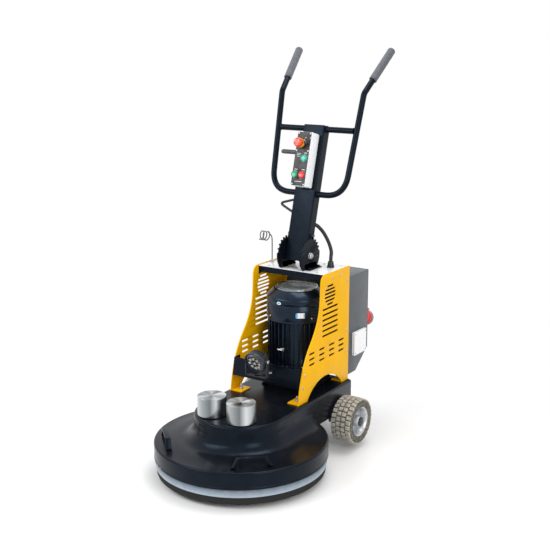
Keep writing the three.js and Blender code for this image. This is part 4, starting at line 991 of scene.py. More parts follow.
def adapter_box():
    """The welded box under the motor, with a thick top flange."""
    low, high = box_mm("motor_adapter")
    body = slab((low.x, low.y, low.z), (high.x, high.y, high.z), 3, 3)
    ring = slab((low.x - 4, low.y - 4, low.z), (high.x + 4, high.y + 4, low.z + 8), 1.5, 2)
    shapes = [(joined(body, ring), BLACK_COAT)]
    piece("adapter_box", "chassis", shapes, replaces=["motor_adapter"])


# ---- Side plates ----
PLATE_LOW, PLATE_HIGH = box_mm("side_plate_right")
PLATE_OUT = PLATE_HIGH.x
PLATE_THICK = 5
PLATE_BASE = PLATE_LOW.z
FOOT_TOP = HOUSING_TOP + 6
ARCH_Y, ARCH_RADIUS, ARCH_RISE = 366.5, 177, 65
FEET = [(161, 229), (507, 557)]
FOOT_INWARD = 50


def bezier(a, b, c, d, steps=10):
    a, b, c, d = (Vector(p) for p in (a, b, c, d))
    shares = [i / steps for i in range(1, steps + 1)]
    points = []
    for t in shares:
        u = 1 - t
        points.append(a * u ** 3 + 3 * b * t * u ** 2 + 3 * c * t * t * u + d * t ** 3)
    return points


def plate_outline():
    """The plate's edge in (y, z): a swept front, a rounded top corner and an arch between its feet."""
    front, rear, base, top = PLATE_LOW.y, PLATE_HIGH.y, PLATE_BASE, PLATE_HIGH.z
    knee, hip = (front + 90, base + 233), (front + 167, base + 424)
    corner = (front + 169, top - 38)
    half = math.sqrt(ARCH_RADIUS ** 2 - (ARCH_RADIUS - ARCH_RISE) ** 2)
    rise = math.asin((ARCH_RADIUS - ARCH_RISE) / ARCH_RADIUS)
    middle_z = FOOT_TOP + ARCH_RISE - ARCH_RADIUS
    return [
        Vector((front, base)),
        *bezier((front, base), (front + 10, base + 80), (front + 34, base + 170), knee),
        *bezier(knee, (front + 146, base + 300), (front + 164, base + 350), hip),
        Vector(corner),
        *bezier(corner, (front + 170, top - 14), (front + 181, top - 1), (front + 202, top), 8),
        Vector((rear, top)),
        Vector((rear, base)),
        Vector((ARCH_Y + half, base)),
        *circle(ARCH_Y, middle_z, ARCH_RADIUS, 33, rise, math.pi - 2 * rise),
        Vector((ARCH_Y - half, base)),
    ]


def slot(y, z, length, height=9):
    """A vent slot with round ends."""
    r = height / 2
    reach = length / 2 - r
    return [*circle(y + reach, z, r, 9, -math.pi / 2, math.pi),
            *circle(y - reach, z, r, 9, math.pi / 2, math.pi)]


def plate_slots():
    slots = []
    for i in range(6):
        rise = (i - 2.5) * 92 / 6
        slots.append(slot(402, 657 + rise, 2 * math.sqrt(46 ** 2 - rise ** 2)))
        slots.append(slot(404, 546 + (i / 5 - 0.5) * 112, 128))
    for i in range(4):
        for j in range(3):
            slots.append(slot(262 + 78 * i, 416 + (j / 2 - 0.5) * 46, 46))
    return slots


def side_plates():
    for node, side in (("side_plate_left", -1), ("side_plate_right", 1)):
        web = plate([plate_outline(), *plate_slots()], PLATE_THICK, 0.7)
        web.transform(Matrix.Translation((side * (PLATE_OUT - PLATE_THICK / 2), 0, 0)) @ SIDEWAYS)
        shapes = [web]
        inner = PLATE_OUT - PLATE_THICK
        for start_y, end_y in FEET:
            edges = sorted((side * (inner - FOOT_INWARD), side * (inner + 1)))
            shapes.append(slab((edges[0], start_y, PLATE_BASE), (edges[1], end_y, PLATE_BASE + 5), 0.8))
        edges = sorted((side * (inner - 20), side * (inner + 1)))
        shapes.append(slab((edges[0], PLATE_HIGH.y - 5, 330), (edges[1], PLATE_HIGH.y, PLATE_HIGH.z - 14),
                           0.8))
        word = "left" if side < 0 else "right"
        piece(f"frame_side_{word}", "chassis", [(joined(*shapes), YELLOW_COAT)],
              replaces=[node])
        fixings = []
        for start_y, end_y in FEET:
            spot = (side * (inner - 25), (start_y + end_y) / 2, PLATE_BASE + 5)
            fixings.append((moved(washer(10, 5, 1.6), *spot), ZINC))
            fixings.append((moved(bolt_head(8, 6.5), spot[0], spot[1], spot[2] + 1.6), ZINC))
            stud = lathe([(0, 8), (4, 8), (4, 21), (3.2, 22), (0, 22)], 20)
            fixings.append((moved(stud, *spot), ZINC))
        for y, z in ((416, 726), (480, 726), (203.5, 362.6), (188.9, 311.6), (540, 690), (540, 470),
                     (540, 380)):
            fixings += pan_screw(5.2, 3, Matrix.Translation((side * PLATE_OUT, y, z)) @ outward(side))
        piece(f"frame_fixings_{word}", "chassis", fixings)


def top_sheet():
    low, high = box_mm("top_plate")
    sheet = slab((low.x, low.y, low.z), (high.x, high.y, high.z), 0.8)
    piece("enamelled_top", "chassis", [(sheet, ENAMEL)], replaces=["top_plate"])
    fixings = []
    rear, front = high.y - 18, low.y + 14
    for x, y in ((-120, rear), (60, rear), (140, rear), (-120, front), (120, front)):
        fixings += pan_screw(4.6, 2.6, Matrix.Translation((x, y, high.z)))
    piece("top_screws", "chassis", fixings)


def bracing():
    """The cross plate between the side plates, with its side ears; the hexagon bolts that hold it and the top
    frame are not drawn.
    """
    low, high = box_mm("front_cross_plate")
    back = high.y - low.y - 40
    sheet = [(low.y, low.z), (low.y + 4, low.z), (low.y + back + 4, high.z), (low.y + back, high.z)]
    face = prism(sheet, low.x, high.x)
    sides = []
    for x in (low.x, high.x - 4):
        ear = [(low.y, low.z), (low.y + 40, low.z), (low.y + back + 40, high.z), (low.y + back, high.z)]
        sides.append(softened(prism(ear, x, x + 4), 0.6, 1))
    shape = joined(softened(face, 0.8, 2), *sides)
    shape.transform(SIDEWAYS)
    piece("cross_plate", "chassis", [(shape, BLACK_COAT)], replaces=["front_cross_plate"])


# ---- Cabinet ----
CABINET_LOW, CABINET_HIGH = Vector((-160, PLATE_HIGH.y + 0.3, HOUSING_TOP + 12)), Vector((160, 742, 696))
SILL = 338
DOOR_LOW, DOOR_HIGH = box_mm("cabinet_door")


def cabinet():
    """A folded sheet cabinet, open at the back behind its door."""
    low, high, wall = CABINET_LOW, CABINET_HIGH, 2.5

    def outline(inset):
        return [(low.y + inset, low.z + inset), (642 - inset / 2, low.z + inset),
                (high.y - inset, SILL + inset / 2),
                (high.y - inset, high.z - inset), (low.y + inset, high.z - inset)]
    bm = bmesh.new()
    outer, inner = rounded(outline(0), 7, 4), rounded(outline(wall), 5, 4)
    rings = []
    for x, ring in ((high.x, outer), (high.x - wall, inner), (low.x + wall, inner), (low.x, outer)):
        rings.append([bm.verts.new((x, y, z)) for y, z in ring])
    strip(bm, rings[3], rings[0])
    strip(bm, rings[1], rings[2])
    for ring in rings:
        bm.faces.new(ring)
    made = softened(bm, 1.6, 2, 50)
    cutter = slab((low.x + wall + 8, high.y - 12, SILL + 10), (high.x - wall - 8, high.y + 12, high.z - 10),
                  6, 3)
    made = cut(made, cutter)
    hinges = []
    x, y = DOOR_LOW.x + 5, DOOR_LOW.y + 2
    for z in (410, 620):
        hinges.append((moved(lathe([(0, -24), (4.4, -24), (5, -23.4), (5, -0.6), (4.4, 0), (0, 0)], 24), x,
                             y, z), GREY_COAT))
        hinges.append((moved(lathe([(0, -1), (2.5, -1), (2.5, 24), (0, 24.5)], 16), x, y, z), ZINC))
        hinges.append((slab((x - 5, y - 16, z - 24), (low.x + 1, y - 1, z), 0.6), GREY_COAT))
    piece("cabinet_body", "chassis", [(made, GREY_COAT), *hinges],
          replaces=["cabinet_shell"])
    louvres = []
    for i in range(5):
        louvre = slab((-44, 0, 0), (44, 3.2, 5), 1.4, 2)
        louvres.append((moved(louvre, 0, high.y - 90 - i * 14, high.z), GREY_COAT))
    piece("cabinet_louvres", "chassis", louvres)


def cabinet_door():
    """The door, a flat sheet, with its hinge knuckles and thumb screws; no edge seal is drawn."""
    low, high = DOOR_LOW, DOOR_HIGH
    back = CABINET_HIGH.y + 0.3
    half = CABINET_HIGH.x
    sheet = slab((-half, back, low.z), (half, back + 4, high.z), 1.6, 3)
    hole = lathe([(0, -10), (28, -10), (28, 20), (0, 20)], 48)
    hole.transform(Matrix.Translation((118, back, 474)) @ TO_Y)
    shapes = [(cut(sheet, hole), GREY_COAT)]
    x, y = low.x + 5, back + 2
    for z in (410.3, 620.3):
        knuckle = lathe([(2.9, 0), (4.4, 0), (5, 0.6), (5, 23.4), (4.4, 24), (2.9, 24)], 24, closed=True)
        shapes.append((moved(knuckle, x, y, z), GREY_COAT))
        shapes.append((slab((x + 3.4, y - 1.6, z), (-half + 2, y + 1.8, z + 24), 0.5), GREY_COAT))
    piece("service_door", "door", shapes, replaces=["cabinet_door"])
    knobs = []
    for z in (663, 352):
        for side in (-1, 1):
            stem = lathe([(0, 0), (9, 0), (9, 2), (6, 3), (6, 5), (11, 6), (11, 13), (9.5, 14.5),
                          (0, 14.5)], 24)
            for vertex in stem.verts:
                if vertex.co.z > 5.5 and math.hypot(vertex.co.x, vertex.co.y) > 9:
                    ridge = 1 + 0.05 * math.cos(12 * math.atan2(vertex.co.y, vertex.co.x))
                    vertex.co.x *= ridge
                    vertex.co.y *= ridge
            stem.transform(Matrix.Translation((side * (half - 22), back + 4, z)) @ TO_Y)
            if z > 600 or side > 0:
                knobs.append((stem, BLACK_ABS))
    piece("door_knobs", "door", knobs)


def side_box():
    """A pale plastic box on the cabinet's side, with a lid line and four corner screws."""
    low, high = box_mm("side_box")
    base = slab((low.x, low.y + 1, low.z + 1), (high.x - 9, high.y - 1, high.z - 1), 2.5, 3)
    lid = slab((high.x - 8.2, low.y, low.z), (high.x, high.y, high.z), 3, 4)
    shapes = [(joined(base, lid), WHITE_ABS)]
    for y in (low.y + 9, high.y - 9):
        for z in (low.z + 9, high.z - 9):
            shapes += pan_screw(3.6, 1.4, Matrix.Translation((high.x - 0.8, y, z)) @ TO_X, GREY_ABS)
    piece("junction_box", "chassis", shapes, replaces=["side_box"])


def power_inlet():
    """A red appliance inlet that slopes down, and its ribbed grey flap."""
    face = CABINET_HIGH.y + 0.3 + 4 + 0.3
    tilt = turn_about("X", -18)
    place = Matrix.Translation((118, face, 474))
    flange = slab((-36, 0, -36), (36, 6, 36), 3, 3)
    flange = cut(flange, moved(lathe([(0, -1), (26, -1), (26, 8), (0, 8)], 48), turn=TO_Y))
    tube = lathe([(31, 2), (31, 46), (33, 47), (33, 60), (32, 62), (27, 62), (27, 2)], 64, closed=True)
    tube.transform(tilt @ TO_Y)
    core = lathe([(0, 2), (23, 2), (23, 37), (22, 38), (0, 38)], 48)
    core.transform(tilt @ TO_Y)
    ear = slab((-8, 48, 28), (8, 62, 38), 2, 2)
    ear.transform(tilt)
    shapes = [joined(flange, tube, core, ear)]
    whole = shapes[0]
    whole.transform(place)
    parts = [(whole, RED_ABS)]
    for a in (90, 210, 330):
        pin = lathe([(0, 36), (3, 36), (3, 56), (2, 58), (0, 58)], 16)
        pin.transform(place @ tilt @ TO_Y @ Matrix.Translation((11 * math.cos(math.radians(a)),
                11 * math.sin(math.radians(a)), 0)))
        parts.append((pin, ZINC))
    for x in (-29, 29):
        for z in (-29, 29):
            parts += pan_screw(3.4, 2, place @ Matrix.Translation((x, 6, z)) @ TO_Y)
    piece("appliance_inlet", "door", parts, replaces=["inlet_body"])
    lid = lathe([(0, 0.4), (33, 0.4), (34, 1.5), (34, 12), (32, 14), (27, 14), (26, 13), (10, 13), (9, 14),
                 (0, 14)], 64)
    for vertex in lid.verts:
        reach = math.hypot(vertex.co.x, vertex.co.y)
        if reach > 31:
            ridge = 1 - 0.012 * (1 + math.cos(16 * math.atan2(vertex.co.y, vertex.co.x)))
            vertex.co.x *= ridge
            vertex.co.y *= ridge
    lid.transform(place @ tilt @ Matrix.Translation((0, 62.3, 0)) @ TO_Y)
    lug = slab((-8, 62.3, 29), (8, 68.3, 43), 1.5, 2)
    lug.transform(place @ tilt)
    piece("inlet_flap_lid", "inlet_flap", [(lid, GREY_ABS), (lug, GREY_ABS)],
          replaces=["inlet_cap"])


# ---- Wheels ----
def wheels():
    """Airless tyres with four rows of worn blocks, on cast rims."""
    for word, side in (("left", -1), ("right", 1)):
        low, high = box_mm(f"tyre_{word}")
        centre = (low + high) / 2
        radius, half = (high.z - low.z) / 2, (high.x - low.x) / 2
        tread = [(64.3, -half + 6), (68, -half + 2), (78, -half + 1), (radius - 14, -half),
                 (radius - 8, -half + 2),
                 (radius - 6.5, -half + 6), (radius - 6, 0), (radius - 6.5, half - 6),
                 (radius - 8, half - 2),
                 (radius - 14, half), (78, half - 1), (68, half - 2), (64.3, half - 6)]
        carcass = lathe(tread, 96, closed=True)
        blocks = []
        count = 28
        for row in range(4):
            inner_row = row in (1, 2)
            x = (row - 1.5) * 23.5
            for i in range(count):
                a = 360 * (i + (0.5 if inner_row else 0)) / count
                w = 17 if inner_row else 19
                lug = slab((radius - 9, -8.6, -w / 2), (radius - 0.15, 8.6, w / 2), 1.3, 2)
                for vertex in lug.verts:
                    if vertex.co.x > radius - 4:
                        vertex.co.y *= 0.93
                        vertex.co.y += 1.2 * math.copysign(1, row - 1.5) * vertex.co.z / w
                        vertex.co.x = min(vertex.co.x, math.sqrt((radius - 0.1) ** 2 - vertex.co.y ** 2))
                    if not inner_row and vertex.co.z * (row - 1.5) > 0 and vertex.co.x > radius - 5:
                        vertex.co.x -= 1.6
                blocks.append(moved(lug, z=x, turn=turn_about("Z", a)))
        rim = lathe([(13, -half + 3), (22, -half + 3), (24, -half + 6), (25, -18), (52, -13),
                     (56, -half + 9),
                     (60, -half + 5), (63.5, -half + 3), (64, -half + 5), (64, half - 5), (63.5, half - 3),
                     (60, half - 5), (56, half - 9), (52, 13), (25, 18), (24, half - 6), (22, half - 3),
                     (13, half - 3)], 72, closed=True)
        cap = lathe([(13.2, half - 3), (21, half - 3), (21, half + 0.5), (18, half + 2.6), (0, half + 3),
                     (0, half + 0.5), (13.2, half + 0.5)], 48)
        turn = Matrix.Translation(centre) @ outward(side)
        shapes = [(carcass, CARCASS), (joined(*blocks), TREAD)]
        for shape, _ in shapes:
            shape.transform(turn)
        rim.transform(turn)
        cap.transform(turn)
        piece(f"wheel_tyre_{word}", f"wheel_{word}", shapes, replaces=[f"tyre_{word}"])
        piece(f"wheel_rim_{word}", f"wheel_{word}", [(rim, RIM_CASTING), (cap, BLACK_ABS)],
              replaces=[f"rim_{word}"])


# ---- Mast and handle ----
MAST_LOW, MAST_HIGH = box_mm("mast_tube", MAST)
MAST_HALF = MAST_HIGH.x
BAR = 12.5
LATCH_D = 84


def mast():
    """A rectangular tube with rounded corners and a welded end cap, cut through for the handle and for the
    latch and its peg; the weld beads at the handle's crossings come with the handle.
    """
    low, high = MAST_LOW, MAST_HIGH
    outline = rounded([(low.x, low.y), (high.x, low.y), (high.x, high.y), (low.x, high.y)], 6, 5)
    inner = rounded([(low.x + 3, low.y + 3), (high.x - 3, low.y + 3), (high.x - 3, high.y - 3),
                     (low.x + 3, high.y - 3)], 4, 5)
    bm = bmesh.new()
    levels = [(outline, low.z), (outline, high.z - 1.6),
              (rounded([(low.x + 1.6, low.y + 1.6), (high.x - 1.6, low.y + 1.6),
              (high.x - 1.6, high.y - 1.6), (low.x + 1.6, high.y - 1.6)], 5, 5), high.z)]
    rings = [[bm.verts.new((p[0], p[1], z)) for p in ring] for ring, z in levels]
    bore = [[bm.verts.new((p[0], p[1], z)) for p in inner] for z in (low.z, high.z - 4)]
    for first, second in zip(rings, rings[1:]):
        strip(bm, first, second)
    bm.faces.new(rings[-1])
    strip(bm, rings[0], bore[0])
    strip(bm, *bore)
    bm.faces.new(bore[-1])
    cutters = []
    for d in (258, 531):
        hole = lathe([(0, -100), (BAR + 0.3, -100), (BAR + 0.3, 100), (0, 100)], 40)
        cutters.append(moved(hole, z=d, turn=TO_X))
    latch_slot = [(7, LATCH_D + 8), (-7, LATCH_D + 8), (-7, LATCH_D - 17), (7, LATCH_D - 17)]
    window = prism(rounded(latch_slot, 6.5, 6), -100, 100)
    window.transform(SIDEWAYS)
    cutters.append(window)
    peg_slot = [(10.5, 427 + 11.5), (-10.5, 427 + 11.5), (-10.5, 427 - 20.5), (10.5, 427 - 20.5)]
    window = prism(rounded(peg_slot, 10, 6), -100, 0)
    window.transform(SIDEWAYS)
    cutters.append(window)
    for cutter in cutters:
        bm = cut(bm, cutter)
    piece("mast_box_tube", "mast", [(bm, BLACK_COAT)], place=MAST, replaces=["mast_tube"])


def weld_bead(radius, x, d):
    """A rippled bead round a bar where it meets the tube's wall."""
    turns = [2 * math.pi * i / 56 for i in range(56)]
    points = [(x, radius * math.cos(a), d + radius * math.sin(a)) for a in turns]
    radii = [2.1 + 0.5 * math.sin(i * 2 * math.pi / 4) for i in range(56)]
    return sweep(points, radii, 10, closed=True)


def arm_bend():
    tip = MAST.inverted() @ (MACHINE @ Vector((229, 786, 1639)))
    slope = (192 - 178) / (531 - 258)
    bend = Vector((192 + slope * (686.5 - 531), 0, 686.5))
    return bend, tip, (tip - bend).normalized()


HANDLE_CORNER, HANDLE_ELBOW = 95, 40   # bend radii beside the mast and under the grips


def handle():
    """The bent tube with its crossbar, and the foam grips on its ends."""
    bend, tip, along = arm_bend()
    half = [Vector((178, 0, 258)), bend, tip - along * 24]
    other = [Vector((-p.x, p.y, p.z)) for p in reversed(half)]
    corners = [*other, *half]
    route = [corners[0]]
    for i in range(1, len(corners) - 1):
        radius = HANDLE_CORNER if i in (2, 3) else HANDLE_ELBOW
        toward = (corners[i - 1] - corners[i]).normalized()
        away = (corners[i + 1] - corners[i]).normalized()
        trim = radius / math.tan(toward.angle(away) / 2)
        begin, finish = corners[i] + toward * trim, corners[i] + away * trim
        for step in range(25):
            t = step / 24
            route.append(begin * (1 - t) ** 2 + corners[i] * 2 * t * (1 - t) + finish * t * t)
    route.append(corners[-1])
    bar = sweep(route, BAR, 32)
    cross = box_mm("crossbar", MAST)
    rail = sweep([(cross[0].x, 0, 531), (-60, 0, 531), (60, 0, 531), (cross[1].x, 0, 531)], BAR, 32)
    beads = [weld_bead(BAR + 1, side * x, d) for side in (-1, 1)
             for x, d in ((MAST_HALF + 1.2, 258), (MAST_HALF + 1.2, 531))]
    piece("handlebar_tube", "mast", [(joined(bar, *beads), BLACK_COAT)], place=MAST,
          replaces=["handlebar"])
    ends = []
    for side in (-1, 1):
        end_bead = weld_bead(BAR - 1, side * (cross[1].x - 1.5), 531)
        ends.append(end_bead)
    piece("crossbar_tube", "mast", [(joined(rail, *ends), BLACK_COAT)], place=MAST,
          replaces=["crossbar"])
    for word, side in (("left", -1), ("right", 1)):
        length, r = 178, 17
        profile = [(12.9, 0), (15.6, 0), (16.6, 0.8), (r, 2.4)]
        for i in range(1, 13):
            z = 2.4 + (length - 16) * i / 12
            profile.append((r - (0.35 if i % 2 else 0.05), z))
        profile += [(r, length - 10), (r - 1, length - 5), (r - 4, length - 1.6), (r - 9, length),
                    (0, length),
                    (0, length - 20), (12.9, length - 22)]
        sleeve = lathe(profile, 48, closed=True)
        spin = Vector((0, 0, 1)).rotation_difference(along).to_matrix().to_4x4()
        start_at = tip - along * length
        sleeve.transform(Matrix.Translation(start_at) @ spin)
        if side < 0:
            sleeve.transform(Matrix.Scale(-1, 4, (1, 0, 0)))
        piece(f"foam_grip_{word}", "mast", [(sleeve, GRIP)], place=MAST,
              replaces=[f"grip_{word}"])


# ---- Control box: positions are (x, d), d up the mast ----
BOX_LOW, BOX_HIGH = box_mm("control_box", MAST)
FACE = BOX_LOW.y
STOP = (-13, 455)
SELECTOR = (19, 461)
START, RUN, HALT = (17.5, 393), (-17.5, 324), (17.5, 324)


def on_face(x, d, lift=0.0):
    """Z of a shape to the face's outward side, at a place on it."""
    return Matrix.Translation((x, FACE - lift, d)) @ TO_FRONT


STOP_HOLE, KEY_HOLE = 11.4, 8.4   # radii of the holes behind the switches


def bezel(inner, outer, height):
    return lathe([(inner, 0), (outer, 0), (outer, height * 0.5), (outer - 1, height), (inner + 0.6, height),
                  (inner, height - 0.6)], 48, closed=True)


def control_station():
    """A pale moulded box with a black face plate, screws, bezels and plain marks."""
    low, high = BOX_LOW, BOX_HIGH
    body = slab((low.x, low.y + 1.5, low.z), (high.x, high.y, high.z), 4, 4)
    wells = [(*STOP, STOP_HOLE), *((*spot, KEY_HOLE) for spot in (SELECTOR, START, RUN, HALT))]
    for x, d, radius in wells:
        hole = lathe([(0, -30), (radius, -30), (radius, 10), (0, 10)], 32)
        hole.transform(on_face(x, d))
        body = cut(body, hole)
    shapes = [(body, WHITE_ABS)]
    inset = 1.2
    corners = [(low.x + inset, low.z + inset), (high.x - inset, low.z + inset),
               (high.x - inset, high.z - inset), (low.x + inset, high.z - inset)]
    holes = [circle(x, d, r, 32) for x, d,
             r in ((*STOP, 11.6), (*SELECTOR, 8.6), (*START, 8.6), (*RUN, 8.6), (*HALT, 8.6))]
    sheet = plate([rounded(corners, 6, 5), *holes], 1.5, 0.4)
    sheet.transform(Matrix(((1, 0, 0, 0), (0, 0, 1, low.y + 0.75), (0, 1, 0, 0), (0, 0, 0, 1))))
    shapes.append((sheet, BLACK_ABS))
    piece("control_station", "mast", shapes, place=MAST, replaces=["control_box"])
    fittings = []
    for x in (low.x + 6.5, high.x - 6.5):
        for d in (low.z + 7, high.z - 7, 424):
            fittings += pan_screw(3.3, 1.6, on_face(x, d), MARK_WHITE, GREY_ABS)
    for x, d in (START, RUN, HALT):
        ring = bezel(14.5, 16.8, 3)
        ring.transform(on_face(x, d))
        fittings.append((ring, BRUSHED))
    ring = bezel(8.7, 14, 2.2)
    ring.transform(on_face(*SELECTOR))
    fittings.append((ring, BLACK_ABS))
    collar = bezel(11.6, 19, 4)
    collar.transform(on_face(*STOP))
    fittings.append((collar, STOP_YELLOW))
    piece("station_fittings", "mast", fittings, place=MAST)
    marks = []
    for x, d, w, h in ((17.5, 415, 14, 2.4), (-17.5, 346, 14, 2.4), (17.5, 346, 14, 2.4),
                       (-14, 412, 20, 1.6),
                       (-14, 406, 20, 1.6), (-14, 400, 14, 1.6), (0, 296, 34, 1.8), (30, 478, 2, 7),
                       (8, 478, 2, 7)):
        marks.append((slab((x - w / 2, FACE - 0.35, d - h / 2), (x + w / 2, FACE + 0.2, d + h / 2), 0.1, 1),
                      MARK_WHITE))
    piece("station_marks", "mast", marks, place=MAST)


def push_button(name, body, node, place, material):
    stem = lathe([(0, -18), (7.6, -18), (7.6, 4.9), (13, 4.9), (14, 5.6), (14, 11.5), (13, 13), (11.6, 13.6),
                  (10.8, 13.1), (6, 12.7), (0, 12.6)], 48)
    skirt = lathe([(7.8, 4.15), (13.8, 4.15), (13.9, 4.3), (13.9, 5), (7.8, 5)], 48, closed=True)
    for shape in (stem, skirt):
        shape.transform(on_face(*place))
    piece(name, body, [(stem, material), (skirt, BLACK_ABS)], place=MAST, replaces=[node])


def switches():
    push_button("start_cap", "start_key", "start_button", START, TEAL)
    push_button("run_cap", "run_key", "run_button", RUN, GREEN)
    push_button("stop_cap", "stop_key", "stop_button", HALT, RED)
    head = lathe([(0, -20), (10.6, -20), (10.6, 12), (16, 12.6), (18.6, 14.4), (19.8, 17.6), (20, 21),
                  (19.5, 25),
                  (18, 28.4), (15.6, 30.8), (12.4, 32.2), (9, 32.8), (0, 33)], 72)
    for vertex in head.verts:
        if 13 < vertex.co.z < 29:
            ridge = 1 - 0.012 * (1 + math.cos(9 * math.atan2(vertex.co.y, vertex.co.x)))
            vertex.co.x *= ridge
            vertex.co.y *= ridge
    head.transform(on_face(*STOP))
    arrows = []
    for i in range(3):
        arc = circle(0, 0, 11, 10, math.radians(120 * i), math.radians(70))
        mark = sweep([(x, y, 32.2) for x, y in arc], 0.8, 8)
        mark.transform(on_face(*STOP))
        arrows.append((mark, MARK_WHITE))
    piece("stop_mushroom", "e_stop", [(head, STOP_RED), *arrows], place=MAST,
          replaces=["e_stop_button"])
    base = lathe([(0, -18), (7.6, -18), (7.6, 1.2), (12, 1.2), (12, 7.6), (11, 9.4), (9, 10.6), (0, 10.6)],
                 48)
    lever = slab((-3.2, -10.6, 3), (3.2, 10.6, 17), 1.4, 3)
    pointer = slab((-0.8, 2, 16.4), (0.8, 10, 17.2), 0.2, 1)
    turned = turn_about("Z", 40)
    shapes = []
    for shape, material in ((base, BLACK_ABS), (lever, BLACK_ABS), (pointer, MARK_WHITE)):
        shape.transform(on_face(*SELECTOR) @ turned)
        shapes.append((shape, material))
    piece("selector_lever", "selector", shapes, place=MAST, replaces=["selector_knob"])


# ---- Latch, quadrants and pivot ----
MAST_ORIGIN = MACHINE.inverted() @ pivot


def latch():
    """The latch bar and its pull rod, lifted by a round-nosed peg at the mast's side."""
    bar = sweep([(-63, 0, LATCH_D), (-20, 0, LATCH_D), (20, 0, LATCH_D), (63, 0, LATCH_D)], 6, 24)
    pull = sweep([(0, 18, LATCH_D), (0, 18, 200), (0, 18, 300), (0, 18, 427)], 3, 16)
    links = [slab((-6, 0, d - 5), (6, 20, d + 5), 1, 2) for d in (LATCH_D, 427)]
    peg = lathe([(0, -6), (9.4, -6), (9.4, 128), (9.5, 129), (9.5, 148), (8.6, 152.5), (6.4, 155.8),
                 (3.2, 157.6),
                 (0, 158)], 40)
    peg.transform(Matrix.Translation((0, 0, 427)) @ turn_about("Y", -90))
    coil = [(5 * math.cos(a), 18 + 5 * math.sin(a),
             330 + a * 1.1) for a in (math.pi / 8 * i for i in range(8 * 18))]
    piece("latch_bar_and_rod", "latch_bar", [
        (joined(bar, pull, *links), OILED),
        (peg, PEG),
        (sweep(coil, 0.8, 8), ZINC),
    ], place=MAST, replaces=["latch"])


def cable_hook():
    wall, tip = -MAST_HALF - 0.3 - 4, (-130, 206)
    corners = [(wall, 0, 238), (wall, 0, 228), (tip[0], 0, tip[1]), (wall, 0, 172), (wall, 0, 162)]
    wire = sweep(rounded(corners, 9, 8, closed=False), 5.2, 20)
    piece("cable_rest", "mast", [(wire, RUBBER)], place=MAST, replaces=["cable_hook"])


LEAN_DEGREES = 15.3
NOTCH_PITCH = 15
NOTCHES_BEFORE, NOTCHES_AFTER = 6, 8   # steps to the front and the rear of the rest position


def quadrants():
    """Flame-cut notched plates with softened edges, on folded stems."""
    for word, side in (("left", -1), ("right", 1)):
        base, thick = box_mm(f"quadrant_{word}")[0].z, 6
        inner = MAST_HALF + 2
        centre_y, centre_z = 420.6, MAST_ORIGIN.z
        tip = 77
        disc_outline = circle(centre_y, centre_z, tip, 65, math.radians(-45), math.radians(270))
        neck = centre_z - 30
        crown = plate([disc_outline], thick, 0.5)
        crown.transform(SIDEWAYS)
        outline = [(387, base), (484, base), (centre_y + 44, neck), (centre_y - 44, neck)]
        upright = plate([outline], thick, 0.5)
        upright.transform(SIDEWAYS)
        solid = crown
        for i in range(-NOTCHES_BEFORE, NOTCHES_AFTER):
            turn = turn_about("X", -(LEAN_DEGREES + i * NOTCH_PITCH))
            box = slab((-20, -6.7, LATCH_D - 6 - 9 - 0.3), (20, 6.7, tip + 20), 1.6, 2)
            box.transform(Matrix.Translation((0, centre_y, centre_z)) @ turn)
            solid = cut(solid, box)
        foot_edges = sorted((side * inner, side * (inner + 26)))
        foot = slab((foot_edges[0], 387, base), (foot_edges[1], 484, base + 4), 0.8)
        for shape in (solid, upright):
            shape.transform(Matrix.Translation((side * (inner + thick / 2), 0, 0)))
        bolts = []
        for y in (400, 471):
            bolts.append((moved(washer(7.5, 4, 1.2), side * (inner + 16), y, base + 4), BLACK_COAT))
            bolts.append((moved(bolt_head(6, 4.6), side * (inner + 16), y, base + 5.2), BLACK_COAT))
        shapes = [(joined(solid, upright, foot), BLACK_COAT), *bolts]
        piece(f"notched_quadrant_{word}", "chassis", shapes, replaces=[f"quadrant_{word}"])


def pivot_fixing():
    low, high = box_mm("pivot_bolt")
    face = MAST_HALF + 2 + 6 + 0.3
    shank = lathe([(0, -face), (8, -face), (8, face), (0, face)], 32)
    shank.transform(TO_X)
    shapes = [(shank, OILED)]
    for side in (-1, 1):
        ring = washer(15, 8, 1.6)
        head = bolt_head(12, high.x - face - 1.6)
        turn = Matrix.Translation((side * face, 0, 0)) @ outward(side)
        ring.transform(turn)
        head.transform(turn @ Matrix.Translation((0, 0, 1.6)))
        shapes += [(ring, ZINC), (head, ZINC)]
    centre = (low + high) / 2
    for shape, _ in shapes:
        shape.transform(Matrix.Translation(centre))
    piece("pivot_fixing", "chassis", shapes, replaces=["pivot_bolt"])


# ---- Cables and small fittings ----
CONDUIT = [(44, 479, 926), (50, 497, 915), (66, 516, 886), (86, 524, 846), (103, 517, 812), (112, 500, 790),
           (113, 497, 775.6)]


